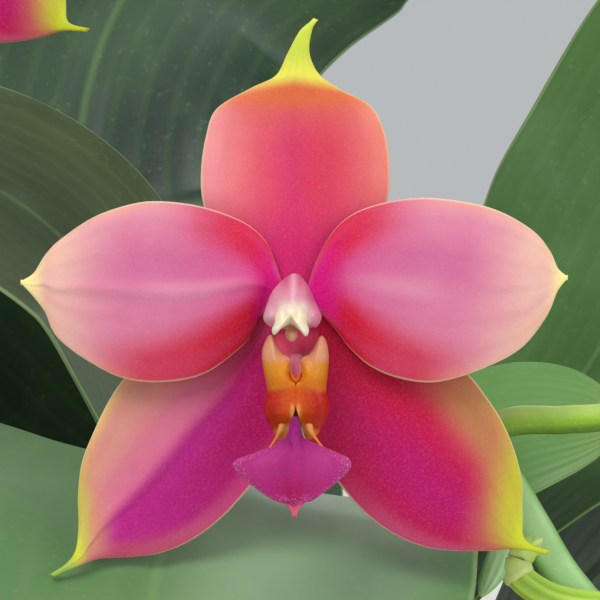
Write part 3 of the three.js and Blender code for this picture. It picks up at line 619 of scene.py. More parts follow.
MIDLOBE = (
    [[-0.1, -13.1], [-0.16, -13.6], [-0.5, -14.7], [-1.2, -15.6], [-2.6, -16.35], [-4.7, -17.1],
     [-6.3, -17.65], [-6.85, -18.2], [-6.1, -19.2], [-4.95, -20.24], [-3.63, -21.2], [-2.5, -21.9],
     [-1.35, -22.3], [-0.85, -22.75], [-0.45, -23.35], [-0.11, -23.95]],
    [[-0.06, -13.1], [0.0, -13.6], [0.35, -14.7], [1.05, -15.5], [2.9, -16.3], [4.85, -17.1],
     [5.8, -17.55], [6.15, -18.2], [5.55, -19.03], [4.62, -19.95], [3.3, -21.0], [2.0, -21.95],
     [1.1, -22.3], [0.65, -22.75], [0.25, -23.35], [-0.06, -23.95]],
)
WHISKERS = (
    [[-1.35, -5.6, -13.2], [-1.6, -7.0, -14.3], [-2.1, -8.4, -15.2], [-2.8, -9.4, -16.25]],
    [[1.45, -5.6, -13.2], [1.65, -7.0, -14.3], [2.2, -8.4, -15.2], [3.05, -9.4, -16.25]],
)


def waxy_material(name, roughness, grain, translucent):
    n = Nodes(name)
    tint = n.attribute("tint", "Color")
    wash = n.noise(420.0, 3.0)
    fine = n.noise(3000.0, 2.0)
    cells = n.cells(3900.0)
    base = n.stain(tint, 0xF0CEC4, wash, 0.35, 0.75, 0.14)
    paler = n.mix(1.0, base, 0x706054, "SCREEN")
    base = n.lay(base, paler, fine, 0.45, 0.7, 3 * grain)
    base = n.lay(base, paler, cells, 0.3, 0.1, 3 * grain)
    normal = n.relief(n.plus(fine, n.times(cells, 0.6)), 0.35, 0.00012)
    return n.finish(
        base, n.span(wash, 0.2, 0.8, roughness - 0.05, roughness + 0.1), normal,
        Subsurface_Weight=translucent, Subsurface_Radius=(0.9, 0.45, 0.4), Subsurface_Scale=0.0012,
        Specular_IOR_Level=0.24, Coat_Weight=0.04, Coat_Roughness=0.3,
    )


def papillae_material(name):
    n = Nodes(name)
    tint = n.attribute("tint", "Color")
    fine = n.noise(2600.0, 3.0)
    cells = n.cells(5600.0)
    # Painted glints: pale specks along the margin where the papillae catch the light
    base = n.lay(tint, 0xBC3E92, fine, 0.4, 0.7, 0.16)
    glint_speck = n.times(n.span(cells, 0.46, 0.16), n.span(n.attribute("rim"), 0.72, 1.0, 0.0, 0.85))
    base = n.mix(glint_speck, base, 0xE296CA)
    normal = n.relief(n.plus(cells, fine), 0.35, 0.00012)
    return n.finish(
        base, n.span(fine, 0.3, 0.7, 0.5, 0.62), normal, Subsurface_Weight=0.14,
        Subsurface_Radius=(0.9, 0.3, 0.6), Subsurface_Scale=0.001, Specular_IOR_Level=0.16,
        Sheen_Weight=0.06, Sheen_Roughness=0.35,
    )


def paint_column(x, y, z):
    c = x + 0.3
    return paint(
        0xDE96AC,
        (0xCC5480, 0.75 * ramp(z, 0.2, 2.2) * bump(np.abs(c), 0.7, 0.7)),
        # A painted highlight: a pale stripe down the middle of the column's upper part
        (0xE6B2C0, 0.6 * bump(c, 0.1, 0.35) * ramp(z, -0.6, 1.2)),
        (0xC63E70, 0.6 * ramp(c, 1.0, 2.0) * ramp(z, -1.6, 0.4)),
        (0xE4B8C4, 0.8 * ramp(c, -1.6, -2.8) * ramp(z, 0.4, -1.2)),
        (0xD68CA6, 0.7 * ramp(c, 1.9, 2.8) * ramp(z, 0.0, -1.4)),
        (0xECE0CC, 0.95 * ramp(z, 0.4, -1.0) * ramp(np.abs(c), 2.2, 1.2)),
        (0xB22264, 0.85 * ramp(y, -3.4, -2.0)),
    )


def paint_cap(x, y, z):
    return paint(
        0xFAF0CE,
        (0xE8B0BE, 0.9 * ramp(z, -1.0, 0.1)),
        (0xECD6C4, 0.6 * bump(z, -0.9, 0.5)),
        (0xFCF8E4, 0.9 * ramp(z, -2.4, -3.5)),
        (0xDEBE8C, 0.25 * bump(x, -0.5, 0.5) * bump(z, -2.3, 0.5)),
    )


def paint_beak(x, y, z):
    return paint(0xCE9676, (0xDEB096, ramp(z, -3.8, -4.5)))


def paint_cavity(x, y, z):
    return paint(0xE84676, (0xEC7894, 0.8 * ramp(z, -5.2, -6.4)), (0xB02260, 0.6 * ramp(z, -4.0, -3.2)))


def paint_callus(x, y, z):
    return paint(0xCE6012, (0xBE380E, ramp(z, -8.5, -9.3)))


def paint_lobe(x, y, z):
    side, low = np.abs(x), z + 0.18 * np.abs(x)
    return paint(
        0xD0906C,
        (0xCA7A6A, 0.6 * ramp(z, -5.0, -4.0)),
        (0xCE7476, 0.7 * ramp(side, 1.25, 0.6) * ramp(z, -8.2, -6.6)),
        (0xD08200, 0.97 * ramp(z, -6.1, -7.4)),
        (0xC86C00, 0.9 * ramp(z, -7.6, -9.2)),
        (0xC84600, 0.9 * ramp(low, -9.1, -10.0)),
        (0xAA1800, 0.97 * ramp(low, -9.25, -9.9) * ramp(side, 0.7, 2.7)),
        (0xB61204, 0.85 * bump(side, 3.2, 1.0) * bump(z, -11.5, 1.2)),
        (0xBA280E, 0.6 * ramp(z, -11.8, -12.8) * ramp(side, 1.6, 2.4)),
        (0xDEA860, 0.7 * bump(side, 0.35, 0.22) * ramp(z, -11.0, -12.0) * ramp(z, -13.4, -12.8)),
        (0xE2A05C, 0.9 * ramp(z + 0.5 * side, -12.9, -13.7)),
        (0xD06E1E, 0.8 * ramp(z, -14.0, -14.6)),
    )


def paint_claw(x, y, z):
    c = x - 0.03
    return paint(
        0xCE6C86,
        (0xC6541C, ramp(z, -8.3, -9.2)),
        (0xC44E0A, ramp(z, -9.8, -10.8)),
        (0xE0AC64, 0.9 * ramp(z, -11.2, -12.4) * bump(np.abs(c), 0.45, 0.28)),
        (0xDE9242, 0.7 * ramp(z, -12.6, -13.6)),
    )


def paint_midlobe(x, y, z, t, s):
    side = np.abs(s)
    fan = 0.5 + 0.5 * np.cos(34 * s + 0.8 * noise(np.stack([x, y, z], -1), 1.4, 4))
    return paint(
        0xAA2272,
        (0x860E6C, 0.9 * ramp(t, 0.36, 0.12)),
        (0x881668, 0.35 * fan * bump(t, 0.4, 0.2) * ramp(side, 0.85, 0.4)),
        (0xB23A84, 0.6 * bump(side, 0.55, 0.3) * bump(t, 0.42, 0.14)),
        (0xA2064C, 0.8 * bump(s, 0, 0.5) * bump(t, 0.68, 0.1)),
        (0xBE5490, 0.5 * ramp(side, 0.85, 1)),
        (0xCE5676, 0.9 * ramp(t, 0.76, 0.86)),
        (0xDE6874, 0.9 * ramp(t, 0.87, 0.96)),
    )


def towards_viewer(points):
    """Draws front pieces in towards the view axis, as much as they stand nearer to the viewer."""
    near = 1 + points[:, 1:2] / VIEW_DISTANCE
    points = points.copy()
    points[:, [0, 2]] *= near
    return points


def dome_piece(
    name, outline, count, rings, centre, depths, painter, look, spot, slot, replaces, relief, power
):
    points, faces = dome_parts(closed_line(outline, count), centre, *depths, relief, rings, power)
    points = points + noise(points, 1.6, 5)[:, None] * np.array([0.02, 0.03, 0.02])
    tint = painter(*points.T)
    points = place_bloom(towards_viewer(points), spot)
    return make_piece(name, points, faces, look, [("tint", tint)], slot, replaces)


def column_relief(x, z, y, r):
    c = x + 0.3
    ridge = -0.35 * bump(c, 0, 0.8) * ramp(z, 2.4, 0.6)
    hollows = 0.45 * bump(np.abs(c), 1.9, 0.4) * bump(z, -1.3, 1.0)
    wings = -0.5 * bump(np.abs(c), 2.7, 0.5) * bump(z, -2.0, 0.9)
    return y + (ridge + hollows + wings) * (1 - r**4)


def cap_relief(x, z, y, r):
    """The cap's upper part sinks into the column; two teeth stand out below."""
    c = x + 0.49
    sunk = 1.5 * ramp(z, -1.2, 0.3)
    keel = -0.25 * bump(c, 0, 0.5) * ramp(z, -2.2, -1.2)
    fold = 0.2 * bump(np.abs(c), 0.75, 0.25) * bump(z, -1.6, 0.7)
    teeth = -0.25 * bump(np.abs(c), 1.65, 0.4) * ramp(z, -2.6, -3.6)
    return y + sunk + (keel + fold + teeth) * (1 - r**6)


def lobe_relief(x, z, y, r):
    """Outer sides roll back. The inner sides stand forward, and meet below the callus."""
    side = np.abs(x)
    inwards = -0.35 * ramp(side, 3.2, 0.6) * ramp(z, -10.5, -8.5)
    waist = 0.2 * bump(z, -10.0, 0.6) * ramp(side, 1.6, 3.0)
    flare = -0.3 * bump(z, -11.6, 1.1) * bump(side, 2.8, 0.8)
    foot = 0.7 * ramp(z, -12.4, -14.2)
    y = y + inwards + (waist + flare + foot) * (1 - r**6)
    joined = -7.35 + 0.9 * ramp(z, -12.0, -14.4) - 0.12 * side
    y = lerp(y, joined, ramp(side, 1.35, 0.2) * ramp(z, -8.5, -9.3) * ramp(z, -14.2, -13.2))
    hem = -6.3 - 0.3 * ramp(z, -7.6, -6.6)
    return lerp(y, np.minimum(y, hem), ramp(side, 1.7, 0.7) * ramp(z, -9.2, -8.4) * ramp(z, -5.6, -6.4))


def callus_relief(x, z, y, r):
    return y - 0.25 * bump(np.abs(x - 0.03), 0.4, 0.2) * (1 - r**4)


def claw_relief(x, z, y, r):
    c = x - 0.03
    groove = 0.5 * bump(c, 0, 0.35) * ramp(z, -9.6, -8.6)
    ridges = -0.35 * bump(np.abs(c), 0.45, 0.2) * ramp(z, -10.8, -12.2)
    return y + (groove + ridges) * (1 - r**4)


def cavity_relief(x, z, y, r):
    return y + 0.15 * np.sin(4 * x) * (1 - r**2) * bump(z, -5.8, 0.9)


def midlobe_piece(name, spot, rows, columns, replaces):
    t, s = np.meshgrid(np.linspace(0, 1, rows), rounded(columns), indexing="ij")
    keel = (1 - np.abs(s)) * np.sin(math.pi * np.minimum(1, t + 0.15))
    corners = bump(np.abs(s), 0.9, 0.2) * bump(t, 0.4, 0.15)
    y = -5.4 - 2.8 * ramp(t, 0, 0.13) - 2.4 * t - 1.6 * keel - 0.7 * corners
    middle = front_grid(MIDLOBE, t, s, y)
    # Small teeth along the lower margin
    low = ramp(t, 0.42, 0.5) * ramp(t, 0.8, 0.74) * ramp(np.abs(s), 0.8, 1.0)
    teeth = 0.05 * noise(middle, 0.42, 11) + 0.04 * noise(middle, 0.24, 12)
    middle[..., 0] += np.sign(s) * teeth * low
    middle[..., 2] += teeth * low
    fan = 0.02 * np.cos(34 * s) * bump(t, 0.42, 0.25) * (1 - s * s)
    grain = 0.012 * noise(middle, 0.34, 3) + 0.05 * noise(middle, 2.4, 4)
    grain = grain + 0.05 * np.maximum(0, noise(middle, 0.26, 6)) * ramp(np.abs(s), 0.75, 0.95)
    thick = 0.95 * (0.3 + 0.7 * np.sqrt(np.clip(1 - np.abs(s) ** 5, 0, 1))) * ramp(t, -0.14, 0.16)
    points, faces, spread = blade_parts(middle, thick, fan + grain, 0.3 * bump(s, 0, 0.12))
    rim = np.maximum(np.abs(s), ramp(t, 0.5, 0.74) * ramp(t, 0.86, 0.78) * 0.9)
    values = skin_values(spread, paint_midlobe(middle[..., 0], y, middle[..., 2], t, s), rim=rim)
    points = place_bloom(towards_viewer(points), spot)
    return make_piece(name, points, faces, MIDLOBE_LOOK, values, "lip_midlobe", replaces)


def whisker_parts(rows=26, sides=10):
    reach = lambda u, a: (lerp(0.4, 0.12, ramp(u, 0.1, 0.95)), lerp(0.34, 0.12, u))
    return gather([rod_parts(Curve(points), rows, sides, reach) for points in WHISKERS])


TEPAL_LOOK = petal_material("tepal_wax")
COLUMN_LOOK = waxy_material("column_wax", 0.3, 0.05, 0.3)
CAP_LOOK = waxy_material("cap_wax", 0.32, 0.04, 0.3)
LOBE_LOOK = waxy_material("lip_wax", 0.34, 0.05, 0.12)
MIDLOBE_LOOK = papillae_material("midlobe_papillae")

# Depth, painter and slot of each sepal and petal
TEPAL_MAKERS = {
    "dorsal_sepal": (sepal_depth, paint_dorsal, "sepal"),
    "petal_left": (petal_depth, paint_petal, "petal"),
    "petal_right": (petal_depth, paint_petal, "petal"),
    "lateral_sepal_left": (sepal_depth, paint_lateral_left, "sepal"),
    "lateral_sepal_right": (sepal_depth, paint_lateral_right, "sepal"),
}
LOBE_DEPTHS = (-4.9, -7.6, -3.6)
# Name, outline, divisor of the points round it, centre, depths of its rim, front and back, painter,
# look, slot, node that it replaces, relief, and the power that shapes the dome
DOMES = (
    ("column_hood", COLUMN, 1, (-0.3, -0.9), (-3.4, -8.1, -0.9), paint_column, COLUMN_LOOK,
     "column", "column", column_relief, 0.55),
    ("anther_cap_shell", CAP, 1, (-0.5, -1.5), (-7.0, -9.6, -5.2), paint_cap, CAP_LOOK,
     "anther_cap", "anther_cap", cap_relief, 0.6),
    ("rostellum", BEAK, 2, (-0.4, -3.8), (-6.4, -7.6, -5.4), paint_beak, CAP_LOOK,
     "anther_cap", None, None, 0.55),
    ("lip_cavity", CAVITY, 1, (0, -4.9), (-4.6, -3.6, -1.0), paint_cavity, LOBE_LOOK,
     "lip_lobe", None, cavity_relief, 0.55),
    ("lip_side_lobe_left_cup", LOBE_LEFT, 1, (-1.85, -8.9), LOBE_DEPTHS, paint_lobe, LOBE_LOOK,
     "lip_lobe", "lip_side_lobe_left", lobe_relief, 0.36),
    ("lip_side_lobe_right_cup", LOBE_RIGHT, 1, (1.9, -8.9), LOBE_DEPTHS, paint_lobe, LOBE_LOOK,
     "lip_lobe", "lip_side_lobe_right", lobe_relief, 0.36),
    ("lip_claw", CLAW, 1, (0, -10.6), (-4.8, -6.5, -3.4), paint_claw, LOBE_LOOK,
     "lip_lobe", "lip_callus", claw_relief, 0.5),
    ("lip_callus_ridge", CALLUS_V, 2, (0.03, -8.8), (-6.3, -7.3, -5.4), paint_callus, LOBE_LOOK,
     "lip_lobe", None, callus_relief, 0.55),
)


def bloom(prefix, spot, fine, replaces):
    """One bloom: five tepals, column, cap, beak and the lip's pieces. replaces names CAD nodes."""
    rows, columns, count, rings = (130, 62, 150, 34) if fine else (64, 30, 70, 16)
    for k, (node, (depth, painter, slot)) in enumerate(TEPAL_MAKERS.items()):
        name = prefix + node + "_skin"
        tepal(name, node, depth, painter, spot, rows, columns, slot, replaces(node), 20 + 3 * k)
    for name, outline, share, centre, depths, painter, look, slot, node, relief, power in DOMES:
        dome_piece(
            prefix + name, outline, count // share, rings, centre, depths, painter, look, spot, slot,
            replaces(node) if node else (), relief, power,
        )
    points, faces, values = whisker_parts()
    tint = paint(0xDE9654, (0xD87A1E, ramp(values["u"], 0.35, 0.8)))
    points = place_bloom(towards_viewer(points), spot)
    make_piece(prefix + "lip_whiskers", points, faces, LOBE_LOOK, [("tint", tint)], "lip_lobe")
    midlobe_piece(prefix + "lip_midlobe_blade", spot, rows, columns, replaces("lip_midlobe"))


bloom("", FIRST, True, lambda node: (node,))
bloom("second_", SECOND, False, lambda node: ("second_bloom",))


# Leaves: spine from the stem to the tip, the way the upper side looks at the base and at the tip,
# width, how far the margins fold up, how much they ripple, and the tint
LEAVES = {
    "leaf_right_young": (
        [[1, 5, 127], [6, -2, 149], [17, -11, 165], [29, -17, 172.5], [42, -22, 174]],
        ([-0.3, 0.8, 0.3], [-0.05, -0.75, 0.65]), 27, 2, 0.4, 0x6A9E50,
    ),
    "leaf_right_upper": (
        [[5, 8, 124], [22, 10, 150], [44, 11, 184], [66, 10, 218], [86, 6, 245], [106, -2, 262]],
        ([-0.8, -0.25, 0.5], [-0.45, -0.85, 0.3]), 66, 5, 1.2, 0x4C7A36,
    ),
    "leaf_back": (
        [[3, 11, 122], [-9, 35, 160], [-34, 53, 205], [-24, 62, 244], [10, 60, 263], [44, 52, 262]],
        ([0.3, -0.9, 0.4], [0, -0.9, -0.35]), 70, 4, 1.3, 0x1F3C32,
    ),
    "leaf_left_upper": (
        [[-5, 7, 116], [-17, 9, 158], [-29, 9, 193], [-54, 7, 209], [-92, -4, 204], [-132, -18, 178]],
        ([0.8, -0.2, 0.4], [0, -0.35, 0.93]), 68, 5, 1.3, 0x4E543A,
    ),
    "leaf_right_middle": (
        [[5, 5, 108], [26, 4, 134], [52, 3, 160], [82, -2, 182], [112, -12, 188], [140, -24, 176]],
        ([-0.7, 0.1, 0.7], [-0.1, -0.6, 0.8]), 70, 5, 1.4, 0x345C2C,
    ),
    "leaf_left_lower": (
        [[-5, 5, 107], [-24, -5, 137], [-46, -14, 156], [-80, -27, 158], [-116, -42, 139], [-144, -54, 110]],
        ([0.7, 0, 0.7], [-0.3, -0.3, 0.9]), 74, 5, 1.5, 0x425C50,
    ),
    "leaf_front": (
        [[1, 1, 104], [-2, -15, 140], [-8, -28, 163], [-13, -50, 167], [-17, -80, 150], [-21, -112, 118]],
        ([0.05, 0.8, 0.5], [0.1, -0.55, 0.8]), 72, 5, 1.4, 0x68945C,
    ),
}
LEAF_DRAWN_IN = 0.994


def leaf_material(name):
    n = Nodes(name)
    across = n.attribute("across")
    side = n.math("ABSOLUTE", across)
    wash = n.noise(28.0, 4.0)
    cloud = n.noise(95.0, 3.0)
    fine = n.noise(900.0, 2.0)
    lane = n.plus(n.times(across, 46.0), n.times(n.noise(40.0, 2.0), 3.0))
    vein = n.math("SINE", lane)
    tint = n.attribute("tint", "Color")
    deep = n.mix(1.0, tint, 0xC4CEBE, "MULTIPLY")
    fresh = n.mix(0.35, tint, 0x628E42)
    young = n.times(n.attribute("age"), 0.3)
    base = n.mix(n.plus(n.span(wash, 0.3, 0.72, 0.0, 0.7), young), deep, fresh)
    base = n.lay(base, 0x709268, cloud, 0.5, 0.85, 0.18)
    base = n.lay(base, 0x7EA064, vein, 0.3, 1.0, 0.05)
    # Midrib, margin, tip and underside
    base = n.lay(base, 0x7A9E58, side, 0.03, 0.0, 0.3)
    base = n.lay(base, 0xA0BC7E, side, 0.975, 0.998, 0.7)
    base = n.lay(base, 0x8C9646, n.attribute("along"), 0.9, 1.0, 0.3)
    base = n.mix(n.times(n.attribute("under"), 0.6), base, 0x708C56)
    base = n.lay(base, 0x8CA87A, fine, 0.58, 0.8, 0.16)
    height = n.plus(n.times(vein, 0.25), n.times(cloud, 1.2))
    normal = n.relief(height, 0.2, 0.0004)
    normal = n.relief(fine, 0.2, 0.0001, normal)
    return n.finish(
        base, n.span(wash, 0.25, 0.8, 0.38, 0.52), normal, Specular_IOR_Level=0.4, Coat_Weight=0.1,
        Coat_Roughness=0.4, Subsurface_Weight=0.06, Subsurface_Radius=(0.4, 0.8, 0.2),
        Subsurface_Scale=0.0015, Sheen_Weight=0.08, Sheen_Roughness=0.5,
    )


def leaf_half(u):
    shoulder = 0.2 + 0.8 * ramp(u, 0.02, 0.5)
    tip = np.where(u < 0.62, 1, np.sqrt(np.clip(1 - (np.clip(u - 0.62, 0, 1) / 0.38) ** 2.2, 0, 1)))
    return shoulder * tip


def leaf(name, rows=150, columns=54):
    spine, face, width, fold, wave, leaf_tint = LEAVES[name]
    curve = Curve(spine)
    t, s = np.meshgrid(np.linspace(0, 1, rows), rounded(columns), indexing="ij")
    u = 1 - (1 - t) ** 1.15
    seed = 40 + 7 * list(LEAVES).index(name)
    tangent = curve.way(u)
    faces_up = [np.array(f, float) for f in face]
    wanted = faces_up[0] + (faces_up[1] - faces_up[0]) * ramp(u, 0, 0.75)[..., None]
    up = unit(wanted - tangent * (wanted * tangent).sum(-1, keepdims=True))
    across = np.cross(tangent, up)
    half = np.maximum(1.2, width / 2 * leaf_half(u))
    edge_play = 0.988 + 0.012 * noise(np.stack([9 * u, 3 * np.sign(s), 0 * u], -1), 0.5, seed)
    lift = fold * s * s * (1.1 - u) * np.minimum(1, 3 * half / width)
    ripple = wave * s * s * np.sin(TURN * 1.7 * u + 2 * s) * ramp(u, 0.15, 0.4)
    taper = 1 - 0.55 * ramp(u, 0.6, 1)
    # Drawn in a little, so that the relief stays inside the solid's box
    out = (LEAF_DRAWN_IN * half * s * edge_play)[..., None]
    middle = curve.at(LEAF_DRAWN_IN * u) + across * out + up * (lift + ripple)[..., None]
    thick = lerp(3.2, 1.1, s * s) * taper * np.sqrt(np.clip(1 - np.abs(s) ** 14, 0.02, 1))
    groove = -0.75 * bump(s, 0, 0.035) * taper
    lanes = 0.02 * np.sin(23 * s + 1.2 * noise(middle, 14, seed)) * ramp(u, 0.05, 0.2)
    uneven = 0.35 * noise(middle, 17, seed + 1) + 0.12 * noise(middle, 5, seed + 2)
    keel = (0.8 * bump(s, 0, 0.2) + 0.5 * bump(s, 0, 0.05)) * taper
    points, faces, spread = blade_parts(middle, thick, groove + lanes + uneven, keel + lanes - uneven)
    # Broad soft pale patches at random on every leaf, and on the front leaf a painted sheen: a pale
    # grey-green highlight across one side of its outer part
    pale_patch_and_sheen = ramp(noise(middle, 34, seed + 3), 0.0, 0.9) * 0.12
    # The front leaf's painted sheen, a highlight laid into its tint
    if name == "leaf_front":
        pale_patch_and_sheen = pale_patch_and_sheen + ramp(s, 0.1, -0.3) * ramp(s, -1.0, -0.7) * ramp(u, 0.3, 0.5)
    tint = paint(leaf_tint, (0x96AE92, 0.8 * pale_patch_and_sheen))
    age = 1.0 if name == "leaf_right_young" else 0.25 * hashed(np.array([seed, 1, 2]), 3)
    values = skin_values(spread, tint, along=u, across=s, age=age)
    values.append(("under", spread(np.zeros_like(s), np.ones_like(s))))
    return make_piece(name + "_blade", points, faces, LEAF_LOOK, values, "leaf", (name,))


# Stem and roots
ROOT_ROUTES = [
    [[-2, 4, 99], [-18, -6, 108], [-33, -19, 113.5], [-50, -29, 113.5], [-58, -34, 106], [-60, -36, 92],
     [-59, -35, 74]],
    [[-2, 7, 97], [-19, 15, 104], [-33, 21, 103], [-39, 24, 91]],
    [[2, 5, 97], [20, -3, 103], [34, -10, 102], [42, -14, 91]],
    [[2, 8, 99], [18, 18, 107], [33, 30, 113], [46, 41, 113.5], [54, 47, 105], [56, 49, 90]],
    [[0, 8, 98], [-4, 24, 105], [-8, 34, 102], [-10, 38, 91]],
]


def stem_material(name):
    n = Nodes(name)
    wash = n.noise(160.0, 4.0)
    fibre = n.noise(30.0, 3.0, vector=n.stretched((60, 60, 6)))
    base = n.lay(0x60783A, 0x847648, wash, 0.35, 0.7)
    base = n.lay(base, 0x5C422A, fibre, 0.5, 0.75, 0.6)
    normal = n.relief(n.plus(fibre, wash), 0.6, 0.0006)
    return n.finish(base, n.span(wash, 0.3, 0.7, 0.6, 0.82), normal, Specular_IOR_Level=0.35)


def root_material(name):
    n = Nodes(name)
    tip = n.attribute("tip")
    wash = n.noise(190.0, 4.0)
    fine = n.noise(1700.0, 3.0)
    stain = n.noise(70.0, 3.0)
    base = n.lay(0x96A08A, 0xC4C8BA, wash, 0.35, 0.68)
    base = n.lay(base, 0x807658, stain, 0.55, 0.75, 0.5)
    base = n.lay(base, 0xDEE0D6, fine, 0.5, 0.75, 0.3)
    base = n.mix(tip, base, 0x608030)
    normal = n.relief(n.plus(n.times(fine, 0.6), wash), 0.5, 0.0003)
    return n.finish(
        base, n.span(wash, 0.3, 0.7, 0.72, 0.9), normal, Specular_IOR_Level=0.3, Sheen_Weight=0.2
    )


def stem_pieces():
    curve = Curve([[0, 6, 84], [0, 6, 108], [0, 7, 133]])

    def reach(u, a):
        rings = 0.6 * np.sin(u * 5 * math.pi) ** 2 + 0.5 * bump(np.mod(u * 9, 1), 0.9, 0.12)
        flakes = 0.35 * noise(np.stack([3 * np.cos(a), 3 * np.sin(a), 24 * u], -1), 1.0, 8)
        girth = 8.5 * (1 - 0.35 * ramp(u, 0.75, 1)) + rings + flakes
        return girth, 0.9 * girth

    points, faces, _ = rod_parts(curve, 110, 72, reach)
    node = ("stem_and_roots",)
    make_piece("stem_sheaths", points, faces, stem_material("stem_skin"), (), "root_skin", node)
    parts = []
    for k, route in enumerate(ROOT_ROUTES):
        curve = Curve(route)

        def reach(u, a, k=k):
            spot = np.stack([2 * np.cos(a), 2 * np.sin(a), 30 * u], -1)
            knobs = 1 + 0.07 * noise(spot, 2.2, 60 + k) + 0.03 * noise(spot, 0.7, 70 + k)
            end = np.sqrt(np.clip(1 - (np.clip(u - 0.955, 0, 1) / 0.045) ** 2, 0.01, 1))
            radius = 2.7 * lerp(1.12, 0.82, u) * knobs * end
            return radius, radius

        shape = lambda u: 1 - (1 - u) ** 1.3
        points, faces, v = rod_parts(curve, 30 * len(route), 28, reach, (0.3, 0.2, 0.93), shape=shape)
        hangs = route[-1][2] < 91
        parts.append((points, faces, {"tip": ramp(v["u"], 0.9, 0.985) * hangs}))
    points, faces, values = gather(parts)
    tips = [("tip", values["tip"])]
    make_piece("aerial_roots", points, faces, root_material("velamen"), tips, "root_skin", node)


# Pot and bark mix
POT_PROFILE = [
    [0, 0], [38, 0], [40.5, 0], [41.7, 0.4], [42, 1.5], [54, 84], [57.5, 84.2], [59.4, 84.7], [60, 86.5],
    [60, 105.4], [59.6, 107], [58.4, 107.9], [55.8, 108], [54.5, 107.5], [54, 106], [36, 7], [30, 7], [0, 7],
]
POT_SIDES = 160
DRAIN = {"count": 3, "radius": 5, "reach": 20, "depth": 56}


def clay_material(name):
    n = Nodes(name)
    wash = n.noise(22.0, 5.0)
    streak = n.noise(12.0, 4.0, vector=n.stretched((5, 5, 1.2)), distortion=0.6)
    grit = n.noise(1300.0, 3.0)
    pits = n.cells(520.0)
    z = n.add("ShaderNodeSeparateXYZ", "Z", {0: n.place})
    base = n.lay(0xA85836, 0xC4744C, wash, 0.3, 0.72)
    lime = n.times(n.span(streak, 0.48, 0.8), n.span(z, 0.11, 0.05, 0.25, 0.8))
    base = n.mix(n.times(lime, 0.42), base, 0xDECEBC)
    damp = n.times(n.span(z, 0.024, 0.004), n.span(wash, 0.35, 0.6))
    base = n.mix(n.times(damp, 0.6), base, 0x685C3A)
    base = n.lay(base, 0xD69670, grit, 0.52, 0.78, 0.5)
    base = n.lay(base, 0x703822, pits, 0.12, 0.03, 0.5)
    normal = n.relief(n.plus(grit, n.times(pits, 0.8)), 0.45, 0.0003)
    normal = n.relief(wash, 0.3, 0.0012, normal)
    return n.finish(base, n.span(wash, 0.3, 0.7, 0.8, 0.93), normal, Specular_IOR_Level=0.3)


def pot_piece():
    profile = []
    for (r0, z0), (r1, z1) in zip(POT_PROFILE, POT_PROFILE[1:]):
        steps = max(1, int(math.hypot(r1 - r0, z1 - z0) / 3))
        profile += [[lerp(r0, r1, k / steps), lerp(z0, z1, k / steps)] for k in range(steps)]
    profile.append(POT_PROFILE[-1])
    inner = np.array([p for p in profile if p[0] > 1e-6])
    angle = np.arange(POT_SIDES) * TURN / POT_SIDES
    r, a = np.meshgrid(inner[:, 0], angle, indexing="ij")
    z = np.broadcast_to(inner[:, 1][:, None], r.shape)
    turned = 0.10 * np.sin(z * 1.9) * ((z > 6) & (z < 82)) * (r > 41)
    r = r + turned * 0.6
    points = np.stack([r * np.cos(a), r * np.sin(a), z], -1).reshape(-1, 3)
    faces = tube_faces(len(inner), POT_SIDES)
    pot = make_piece("clay_pot", points, faces, clay_material("clay"), (), "terracotta", ("pot",))
    cutter = bmesh.new()
    radius, reach, depth = (MM * size for size in (DRAIN["radius"], DRAIN["reach"], DRAIN["depth"]))
    for k in range(DRAIN["count"]):
        turn = TURN * (k + 0.25) / DRAIN["count"]
        made = bmesh.ops.create_cone(
            cutter, cap_ends=True, segments=40, radius1=radius, radius2=radius, depth=depth
        )
        place = (reach * math.cos(turn), reach * math.sin(turn), 0)
        bmesh.ops.translate(cutter, verts=made["verts"], vec=place)
    mesh = bpy.data.meshes.new("drain_cutter")
    cutter.to_mesh(mesh)
    cutter.free()
    tool = bpy.data.objects.new("drain_cutter", mesh)
    bpy.context.scene.collection.objects.link(tool)
    hole = pot.modifiers.new("drains", "BOOLEAN")
    hole.operation = "DIFFERENCE"
    hole.object = tool
    hole.solver = "EXACT"
    bpy.context.view_layer.update()
    finished = bpy.data.meshes.new_from_object(pot.evaluated_get(bpy.context.evaluated_depsgraph_get()))
    pot.modifiers.clear()
    pot.data = finished
    bpy.data.objects.remove(tool)
    return pot


def bark_material(name):
    n = Nodes(name)
    tone = n.attribute("tone")
    grain = n.noise(260.0, 4.0, vector=n.stretched((1, 1, 3.2)), distortion=0.8)
    fine = n.noise(1500.0, 3.0)
    wash = n.noise(90.0, 3.0)
    base = n.mix(tone, 0x422A1C, 0x8A603E)
    base = n.lay(base, 0x2E1C12, grain, 0.42, 0.66, 0.7)
    base = n.lay(base, 0xA4805C, wash, 0.55, 0.8, 0.45)
    base = n.lay(base, 0xB09470, fine, 0.56, 0.8, 0.35)
    normal = n.relief(n.plus(grain, n.times(fine, 0.4)), 0.8, 0.0012)
    return n.finish(base, n.span(wash, 0.3, 0.7, 0.82, 0.97), normal, Specular_IOR_Level=0.25)


